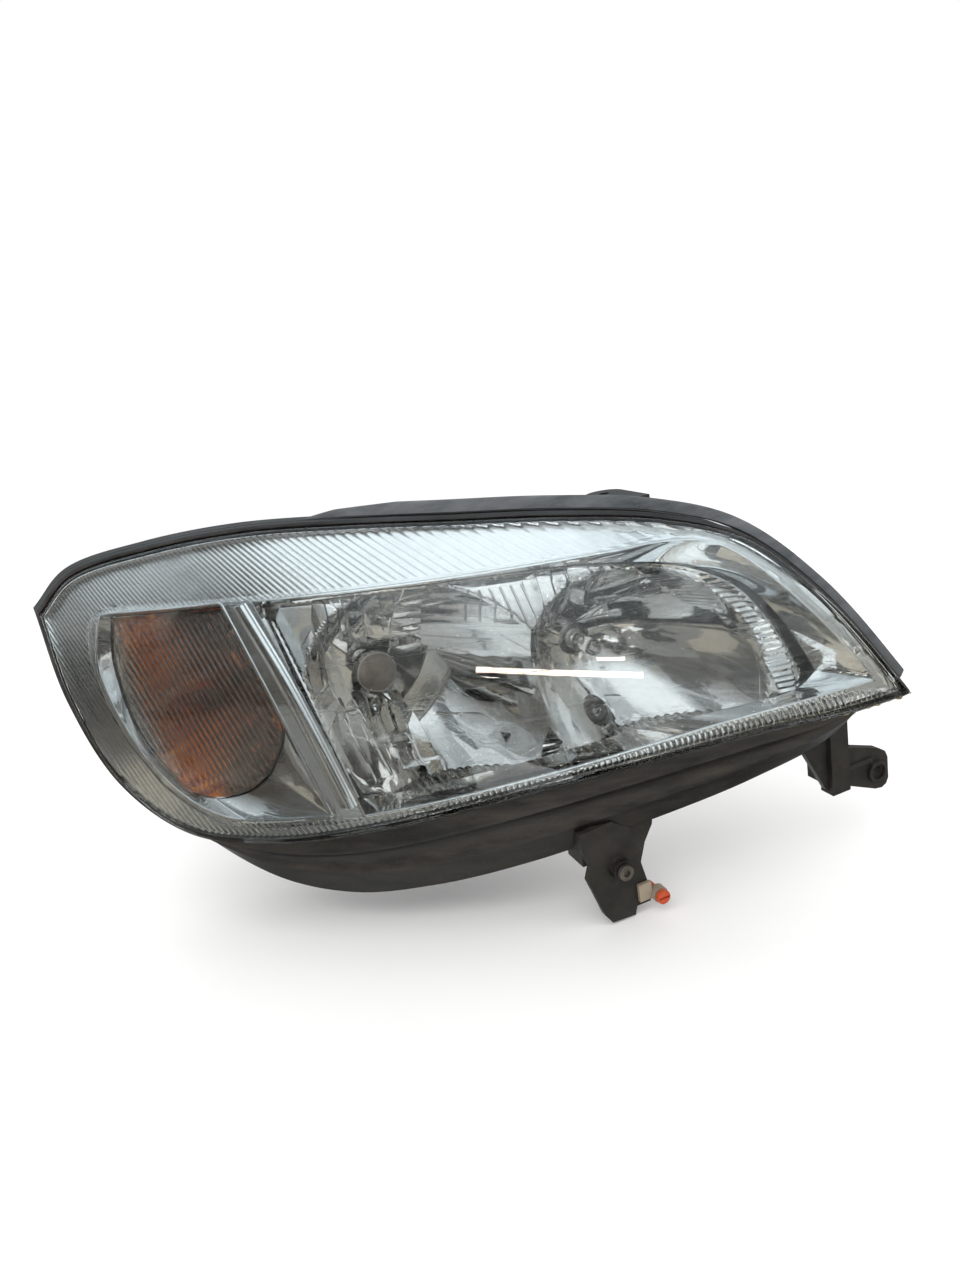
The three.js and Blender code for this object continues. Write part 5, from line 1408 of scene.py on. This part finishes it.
def surroundings():
    """White to the eye and to matt surfaces. Mirrors see a workshop: bright light above and in front,
    patches of brown, grey and cream lower down, and a dim wall on the left."""
    world = bpy.data.worlds.new("studio")
    bpy.context.scene.world = world
    world.cycles.sampling_method = "NONE"
    n = Nodes(world)
    place = n.place("Generated")
    x, _, z = n.split(place)
    wobble = n.add("TexNoise", Scale=1.7, Detail=3.0, Roughness=0.6)
    n.link(place, wobble.inputs["Vector"])
    bent = n.add("VectorMath", operation="MULTIPLY_ADD")
    n.link(wobble.outputs["Color"], bent.inputs[0])
    bent.inputs[1].default_value = (0.7, 0.7, 0.7)
    n.link(place, bent.inputs[2])
    cells = n.add("TexVoronoi", Scale=4.2)
    n.link(bent.outputs["Vector"], cells.inputs["Vector"])
    tone = n.add("SeparateColor")
    n.link(cells.outputs["Color"], tone.inputs["Color"])
    low = n.ramp(tone.outputs["Red"],
                 (0.0, (0.015, 0.013, 0.012)), (0.24, (0.030, 0.026, 0.023)), (0.27, (0.15, 0.122, 0.10)),
                 (0.48, (0.20, 0.165, 0.138)), (0.51, (0.36, 0.325, 0.295)), (0.70, (0.44, 0.40, 0.365)),
                 (0.73, (0.85, 0.70, 0.54)), (0.84, (1.0, 0.86, 0.68)), (0.87, (1.9, 1.85, 1.8)))
    high = n.ramp(tone.outputs["Green"],
                  (0.0, (0.17, 0.175, 0.18)), (0.20, (0.24, 0.245, 0.25)), (0.24, (0.60, 0.62, 0.63)),
                  (0.55, (0.87, 0.88, 0.89)), (0.60, (1.18, 1.20, 1.22)), (1.0, (1.42, 1.44, 1.47)))
    room = n.mix(n.values(z, 0.0, 1.0, (0.30, 0.62)), low, high)
    front = n.values(n.towards(place, (-0.16, -0.95, 0.27)), 0.0, 0.75, (0.93, 0.985))
    room = n.mix(front, room, (0.78, 0.77, 0.75))
    ceiling = n.values(n.towards(place, (-0.46, -0.42, 0.78)), 0.0, 1.0, (0.90, 0.955))
    room = n.mix(ceiling, room, (1.42, 1.43, 1.44))
    wall = n.values(x, 0.62, 1.0, (-0.95, -0.70))
    dim = n.add("CombineColor")
    for key, scale in (("Red", 0.9), ("Green", 1.0), ("Blue", 1.03)):
        n.link(n.maths("MULTIPLY", wall, scale), dim.inputs[key])
    lit = n.tree.nodes["Background"]
    n.link(n.mix(1.0, room, dim.outputs["Color"], "MULTIPLY"), lit.inputs["Color"])
    seen = n.add("Background", Color=(1.0, 1.0, 1.0, 1.0), Strength=1.0)
    ray = n.add("LightPath").outputs
    plain = n.maths("MAXIMUM", ray["Is Camera Ray"], ray["Is Diffuse Ray"])
    n.mix_shader(plain, lit.outputs["Background"], seen.outputs["Background"], "World Output")


def studio():
    """Pale floor that fades into the white background, and soft lights."""
    ground = bpy.data.objects.new("floor", bpy.data.meshes.new("floor"))
    bm = bmesh.new()
    bmesh.ops.create_circle(bm, cap_ends=True, segments=96, radius=2.6)
    bm.to_mesh(ground.data)
    bm.free()
    ground.location.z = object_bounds()[0][2] - 0.001
    bpy.context.scene.collection.objects.link(ground)
    n = new_material("pale_floor")
    n.feed(n.ramp(n.noise(3.0, 3.0), (0.3, (0.90, 0.90, 0.90)), (0.7, (0.93, 0.93, 0.93))), "Base Color")
    n.set(Roughness=0.9, Specular_IOR_Level=0.1)
    far = n.add("VectorMath", operation="LENGTH")
    n.link(n.place(), far.inputs[0])
    n.feed(n.values(far.outputs["Value"], 1.0, 0.0, (0.7, 2.3)), "Alpha")
    ground.data.materials.append(n.owner)
    ground.visible_glossy = False
    ground.visible_transmission = False
    ground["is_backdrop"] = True

    surroundings()
    for name, size, power, spot in (("key", (2.2, 1.5), 20, (-0.95, -0.86, 1.81)),
                                    ("fill", (1.6, 0.6), 5, (1.3, -1.2, 0.9)),
                                    ("back", (1.6, 0.6), 8, (0.2, 1.4, 1.2))):
        soft = area_light(name, size, power, (1.0, 0.99, 0.97), spot, -LUG * MM)
        soft.visible_glossy = False
        soft.visible_transmission = False

    # two long warm lamps of the workshop, whose streaks only the lens mirrors
    lens_only = bpy.data.collections.new("lens_only")
    lens_only.objects.link(bpy.data.objects["front_lens_glass"])
    for name, size, power, spot, aim in (
            ("long_tube", (0.71, 0.038), 2.8, (-0.806, -1.276, 0.444), (-0.09, -0.069, -0.084)),
            ("short_tube", (0.12, 0.022), 0.35, (-0.594, -1.356, 0.505), (-0.066, -0.078, -0.079))):
        tube = area_light(name, size, power, (1.0, 0.84, 0.70), spot, aim, -7)
        tube.visible_transmission = False
        tube.light_linking.receiver_collection = lens_only


def camera():
    """Camera at the photograph's angle, aimed at the lens frame's zero."""
    azimuth, elevation, roll = (math.radians(degrees) for degrees in (-20, 18, 10))
    distance = 0.6
    back = Vector((math.sin(azimuth) * math.cos(elevation), -math.cos(azimuth) * math.cos(elevation),
                   math.sin(elevation)))
    data = bpy.data.cameras.new("camera")
    data.lens, data.sensor_width, data.sensor_fit = 27.08, 36, "AUTO"
    data.clip_start = 0.01
    cam = bpy.data.objects.new("camera", data)
    cam.location = Vector((-LUG * MM).tolist()) + back * distance
    cam.rotation_euler = (back.to_track_quat("Z", "Y") @ Quaternion((0, 0, 1), -roll)).to_euler()
    bpy.context.scene.collection.objects.link(cam)
    bpy.context.scene.camera = cam


camera()
front_lens()
lens_seal()
bezel()
divider_bar()
turn_signal()
reflector_optics()
bulbs()
housing()
aiming_gear()
rear_covers()
seal_strip()
brackets()
studio()
bpy.context.scene.view_settings.view_transform = "Standard"
